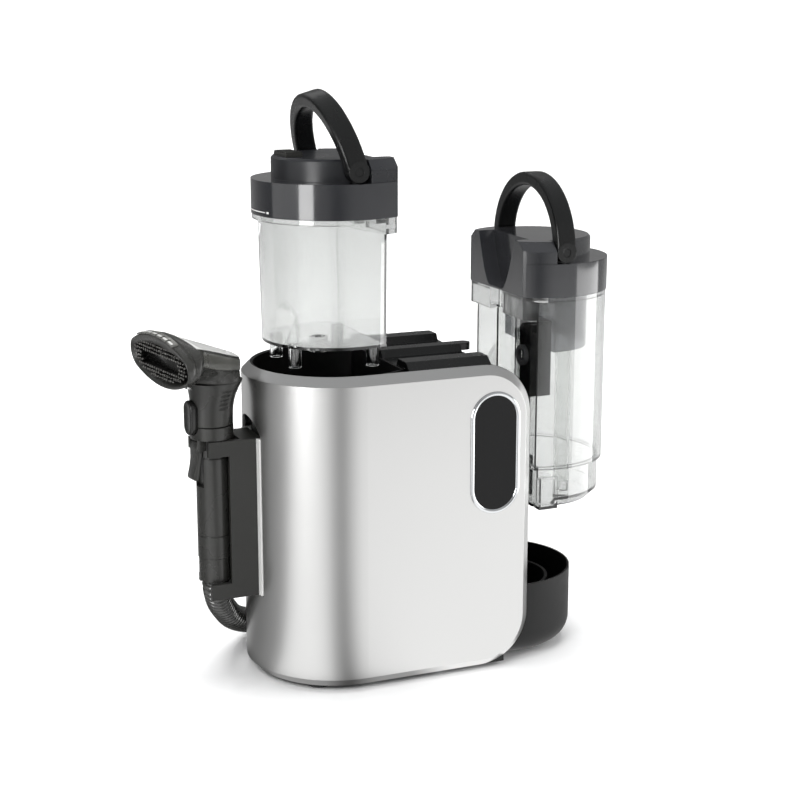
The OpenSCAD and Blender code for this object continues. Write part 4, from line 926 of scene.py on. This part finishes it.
    def tuft_places(self) -> list[Flat]:
        """Lists where the tufts stand: inside the rim, round the slot and under the lip.

        Returns:
            Across and up of each tuft on the mouth.
        """
        w, h, r, big = self.mouth_arcs(self.brush_inset)
        reach = big * (w - r) / (big - r)
        wide, high = self.tuft_pitch
        places: list[Flat] = []
        for row in range(-self.tuft_rows, self.tuft_rows + 1):
            for col in range(-self.tuft_cols, self.tuft_cols + 1):
                y = col * wide + (wide / 2 if row % 2 else 0.0)
                z = row * high - self.tuft_drop
                if abs(y) < reach:
                    inside = math.hypot(y, abs(z) + big - h) < big - self.brush_room
                else:
                    inside = math.hypot(abs(y) - w + r, z) < r - self.brush_room
                past = max(0.0, abs(y) - self.slot_half)
                clear = math.hypot(past, z) >= self.slot_r and z <= h - self.lip_room
                if inside and clear:
                    places.append((y, z))
        return places

    def filament(self, y: float, z: float, rng: random.Random) -> list[Vector]:
        """Draws one leaning, tapered filament of a tuft.

        Args:
            y: Place of the tuft across the mouth.
            z: Place of the tuft over the mouth's middle.
            rng: Source of its place in the tuft, its lean and its length.

        Returns:
            Points of its rings in metres.
        """
        turn, off = rng.uniform(0, 2 * math.pi), rng.uniform(0.1, 0.9)
        dy, dz = off * math.cos(turn), off * math.sin(turn)
        lean_y, lean_z = rng.uniform(-0.5, 0.5), rng.uniform(-0.5, 0.5)
        tall = rng.uniform(6.6, 7.6)
        return [
            self.mouth_place(
                self.tuft_foot + tall * share,
                y + dy + lean_y * share + radius * math.cos(a),
                z + dz + lean_z * share + radius * math.sin(a),
            )
            for share, radius in FILAMENT_RINGS
            for a in round_trip(FILAMENT_SIDES)
        ]

    def brush(self) -> None:
        """Plants tufts of tapered filaments over and under the suction slot."""
        rng = random.Random(11)
        points: list[Vector] = []
        faces: list[Face] = []
        picks: list[int] = []
        for y, z in self.tuft_places():
            for _ in range(self.tuft_count):
                first = len(points)
                points += self.filament(y, z, rng)
                hair = loft_faces(len(FILAMENT_RINGS), FILAMENT_SIDES, flip=True, first=first)
                faces += hair
                # The last stretch of each filament gets the pale tip finish, a painted highlight
                picks += [int(min(face) >= first + FILAMENT_SIDES) for face in hair]
        back = self.oval(self.plate_inset)
        plate = loft_faces(2, len(back), first=len(points))
        for depth in self.plate_span:
            points += [self.mouth_place(depth, y, z) for y, z in back]
        faces += plate
        picks += [0] * len(plate)
        brush = mesh_object("brush_tufts", points, faces, [FILAMENT, FILAMENT_TIP_HIGHLIGHT], picks)
        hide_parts("bristles")
        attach(brush, Body.GUN.value)

    def build(self) -> None:
        """Builds every moulding of the gun."""
        self.head()
        self.crown()
        self.lip_windows()
        self.neck()
        self.button()
        self.trigger()
        self.brush()


@dataclass
class FillMark:
    """Printed fill line on the band of the clean tank's lid, with a dot at its end.

    Lengths are millimetres and spans degrees round the lid. The dot's span is taken from the
    line's end, and its height is a multiple of the line's.
    """

    at_mm: Point
    radius: float = 75.4
    up: float = 4.0
    span: tuple[float, float] = (168.0, 196.0)
    tall: float = 0.8
    dot_span: tuple[float, float] = (1.6, 4.0)
    dot_tall: float = 2.4
    sunk: float = 0.3
    proud: float = 0.08
    steps: int = 16

    def build(self) -> None:
        """Lays the line and the dot on the band."""
        points: list[Vector] = []
        faces: list[Face] = []
        end = self.span[1]
        dot = (end + self.dot_span[0], end + self.dot_span[1], self.dot_tall * self.tall)
        corners = ((self.sunk, -0.5), (-self.proud, -0.5), (-self.proud, 0.5), (self.sunk, 0.5))
        for a0, a1, tall in ((*self.span, self.tall), dot):
            faces += loft_faces(self.steps + 1, len(corners), flip=True, first=len(points))
            for i in range(self.steps + 1):
                a = math.radians(a0 + (a1 - a0) * i / self.steps)
                ahead = Vector((math.cos(a), math.sin(a), 0))
                for sunk, rise in corners:
                    spot = Vector(self.at_mm) + (self.radius - sunk) * ahead
                    points.append((spot + Vector((0, 0, self.up + rise * tall))) * MM)
        mark = mesh_object("fill_line", points, faces, [WHITE_INK])
        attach(mark, Body.CLEAN_LID.value)


@dataclass(frozen=True)
class SoftBox:
    """A soft box: where it hangs, where it points, its size and its power in watts."""

    name: str
    at: Point
    aim: Point
    width: float
    height: float
    power: float


@dataclass(frozen=True)
class GlowStrip:
    """A glowing upright strip about a point, between two azimuths in degrees."""

    name: str
    about: Point
    azimuths: tuple[float, float]
    radius: float
    tall: float
    level: float


@dataclass
class Studio:
    """Pale floor, soft boxes, the glowing cove that glossy faces mirror, and the camera."""

    eye: Point = (-0.6088, -1.4841, 0.6372)
    aim: Point = (0.019, 0.0004, 0.2574)
    lens: float = 76.36
    sensor: float = 36.0
    floor_colour: str = "#fbfbfb"
    floor_front: float = -4.0
    floor_back: float = 3.0
    floor_half: float = 6.0
    floor_drop: float = 0.0003
    sweep_r: float = 1.5
    wall_top: float = 5.0
    room_colour: str = "#f6f7f8"
    room: float = 0.45
    lamps: tuple[SoftBox, ...] = (
        SoftBox("key_box", (-1.5, -1.6, 2.0), (0.0, 0.0, 0.25), 1.2, 1.2, 34.0),
        SoftBox("fill_box", (1.9, -1.1, 1.4), (0.05, 0.0, 0.2), 1.2, 1.4, 18.0),
        SoftBox("top_box", (0.1, 0.4, 2.6), (0.0, 0.1, 0.0), 2.2, 2.2, 60.0),
        SoftBox("backdrop_box", (0.6, 1.4, 2.8), (0.8, 4.2, 1.2), 4.5, 1.4, 140.0),
    )
    # Azimuth and brightness of the cove, then radius, height and share of each of its rows
    cove: tuple[Stop, ...] = (
        (-180.0, 0.5), (-120.0, 0.6), (-60.0, 1.2), (-30.0, 1.2), (-12.0, 1.1), (-4.0, 0.85),
        (4.0, 0.5), (9.0, 0.28), (14.0, 0.3), (19.0, 0.5), (27.0, 0.95), (36.0, 1.1),
        (61.0, 1.08), (69.0, 0.92), (77.0, 0.46), (86.0, 0.3), (104.0, 0.22), (116.0, 0.2),
        (135.0, 0.42), (160.0, 0.6), (180.0, 0.5),
    )
    cove_rows: tuple[Point, ...] = (
        (0.02, 0.002, 0.35), (0.095, 0.002, 0.35), (0.125, 0.002, 1.0),
        (1.8, 0.002, 1.0), (3.2, 0.002, 0.4), (3.2, 2.4, 0.4),
    )
    cove_x: float = -0.05
    strips: tuple[GlowStrip, ...] = (
        GlowStrip("left_strip", (-0.05, 0.0, 0.004), (46.0, 67.0), 3.0, 1.4, 7.5),
        GlowStrip("left_panel", (-0.05, 0.0, 0.004), (67.0, 112.0), 3.1, 1.4, 0.9),
        GlowStrip("right_strip", (0.162, 0.0, 0.02), (-84.0, -38.0), 0.37, 0.322, 3.4),
    )

    def floor(self) -> None:
        """Lays the pale floor that curves up into the backdrop."""
        finish = Finish(
            "pale_paper_sweep", self.floor_colour, 0.7, mottle=0.03, grain=Grain.POLISHED
        )
        back, r = self.floor_back, self.sweep_r
        rows: list[Flat] = [(self.floor_front, 0.0), (back, 0.0)]
        for a in (math.radians(angle) for angle in range(10, 91, 10)):
            rows.append((back + r * math.sin(a), r - r * math.cos(a)))
        rows.append((back + r, self.wall_top))
        ends = (-self.floor_half, self.floor_half)
        points = [Vector((x, y, z - self.floor_drop)) for y, z in rows for x in ends]
        faces = [(2 * i, 2 * i + 1, 2 * i + 3, 2 * i + 2) for i in range(len(rows) - 1)]
        sweep = mesh_object("paper_sweep", points, faces, [finish])

    def glow(
        self, name: str, points: list[Vector], faces: list[Face], levels: list[float]
    ) -> None:
        """Hangs one glowing surface that only glossy faces see.

        Args:
            name: Name of the surface.
            points: Its points in metres.
            faces: Its faces.
            levels: Brightness at each point.
        """
        made = bpy.data.materials.new(name)
        made.use_nodes = True
        tree = made.node_tree
        tree.nodes.clear()
        level = add_node(tree, "ShaderNodeAttribute", {"attribute_name": "level"}).outputs["Fac"]
        light = add_node(tree, "ShaderNodeEmission", inputs={"Strength": level}).outputs["Emission"]
        add_node(tree, "ShaderNodeOutputMaterial", inputs={"Surface": light})
        mesh = bpy.data.meshes.new(name)
        mesh.from_pydata(points, [], faces)
        mesh.attributes.new("level", "FLOAT", "POINT").data.foreach_set("value", levels)
        mesh.materials.append(made)
        card = bpy.data.objects.new(name, mesh)
        bpy.context.scene.collection.objects.link(card)
        card.visible_camera = card.visible_shadow = False
        card.visible_diffuse = card.visible_transmission = False

    def hang_cove(self) -> None:
        """Hangs the cove round the machine and the bright strips in it."""
        points: list[Vector] = []
        levels: list[float] = []
        for azimuth, level in self.cove:
            a = math.radians(azimuth)
            for r, z, share in self.cove_rows:
                points.append(Vector((self.cove_x - r * math.sin(a), -r * math.cos(a), z)))
                levels.append(level * share)
        count = len(self.cove_rows)
        faces = [
            (near + k, near + count + k, near + count + k + 1, near + k + 1)
            for near in range(0, count * (len(self.cove) - 1), count)
            for k in range(count - 1)
        ]
        self.glow("glowing_cove", points, faces, levels)
        for strip in self.strips:
            spots: list[Vector] = []
            for a in (math.radians(azimuth) for azimuth in strip.azimuths):
                away = Vector((-math.sin(a), -math.cos(a), 0))
                foot = Vector(strip.about) + strip.radius * away
                spots += [foot, foot + Vector((0, 0, strip.tall))]
            self.glow(strip.name, spots, [(0, 1, 3, 2)], [strip.level] * len(spots))

    def lights(self) -> None:
        """Hangs the soft boxes and sets the room's light."""
        for box in self.lamps:
            lamp = bpy.data.lights.new(box.name, "AREA")
            lamp.shape = "RECTANGLE"
            lamp.size, lamp.size_y, lamp.energy = box.width, box.height, box.power
            holder = bpy.data.objects.new(box.name, lamp)
            holder.location = box.at
            holder.rotation_euler = facing(box.at, box.aim)
            holder.visible_glossy = holder.visible_camera = False
            bpy.context.scene.collection.objects.link(holder)
        world = bpy.data.worlds.new("studio_room")
        bpy.context.scene.world = world
        world.use_nodes = True
        back = world.node_tree.nodes["Background"]
        back.inputs["Color"].default_value = linear(self.room_colour)
        back.inputs["Strength"].default_value = self.room
        bpy.context.scene.view_settings.view_transform = "Standard"

    def camera(self) -> None:
        """Sets the camera at the photograph's place."""
        lens = bpy.data.cameras.new("photo_camera")
        lens.lens, lens.sensor_width = self.lens, self.sensor
        camera = bpy.data.objects.new("photo_camera", lens)
        camera.location = self.eye
        camera.rotation_euler = facing(self.eye, self.aim)
        bpy.context.scene.collection.objects.link(camera)
        bpy.context.scene.camera = camera


def top_finish(piece: bpy.types.Object, height: float, finish: Finish) -> None:
    """Gives the faces over a height a finish of their own.

    Args:
        piece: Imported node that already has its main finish.
        height: Height over the floor in metres.
        finish: Finish of the faces over it.
    """
    number = len(piece.data.materials)
    piece.data.materials.append(finish.material())
    for face in piece.data.polygons:
        if (piece.matrix_world @ face.center).z > height:
            face.material_index = number


def dress_nodes(nodes: dict[str, bpy.types.Object]) -> None:
    """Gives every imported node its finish.

    Args:
        nodes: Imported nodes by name.
    """
    for name, piece in nodes.items():
        piece.data.materials.clear()
        piece.data.materials.append(NODE_FINISHES[name].material())
        LOG.info("%s: %s", name, NODE_FINISHES[name].name)


# Route of the hose's middle line from the clean tank's axis, as in the part's source
HOSE_ROUTE_MM: list[Point] = [
    (64, 107, 34), (78, 107, 34), (94, 107, 33), (112, 107, 29), (130, 107.2, 23),
    (206.9, 112.6, 16.5), (241.5, 127.3, 13.2), (270.7, 150.9, 13.2), (292.3, 181.7, 13.2),
    (304.5, 217.2, 13.2), (306.5, 254.8, 13.2), (298, 291.4, 13.2), (279.8, 324.2, 13.2),
    (253.2, 350.8, 13.2), (220.4, 369, 13.2), (183.8, 377.5, 13.2), (146.2, 375.5, 13.2),
    (110.7, 363.3, 13.2), (79.9, 341.7, 13.2), (56.3, 312.5, 13.2), (38, 262, 13.2),
    (26, 234, 13.2), (14, 206, 13.2), (2, 178, 13.2), (-12, 151, 13.2),
    (-28, 126, 13.5), (-44, 106, 15), (-57, 91, 18), (-69, 79, 23.5), (-82, 65, 32),
    (-93, 51, 42), (-103, 37, 55), (-111, 24, 67), (-117, 12, 80), (-121, 3, 92),
    (-122, 0, 102), (-122, 0, 112), (-122, 0, 121.7),
]
# Distance from the clean tank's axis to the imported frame's origin, and places of the gun and
# the clean lid in that frame
ORIGIN_MM = 50.278
GUN_AT_MM: Point = (-122.0 - ORIGIN_MM, 0.0, 240.0)
CLEAN_LID_AT_MM: Point = (-ORIGIN_MM, 0.0, 445.5)
# Height where the clean lid's raised disc starts
DISC_FOOT_MM = 478.0


def main() -> None:
    """Builds the scene in order."""
    logging.basicConfig(level=logging.INFO, format="%(name)s: %(message)s")
    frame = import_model()
    studio = Studio()
    studio.camera()
    SuctionHose(HOSE_ROUTE_MM, ORIGIN_MM).build()
    studio.lights()
    studio.floor()
    studio.hang_cove()
    dress_nodes(frame["nodes"])
    top_finish(frame["nodes"]["clean_lid"], DISC_FOOT_MM * MM, DISC_ABS)
    SprayGun(GUN_AT_MM).build()
    FillMark(CLEAN_LID_AT_MM).build()


if __name__ == "__main__":
    main()
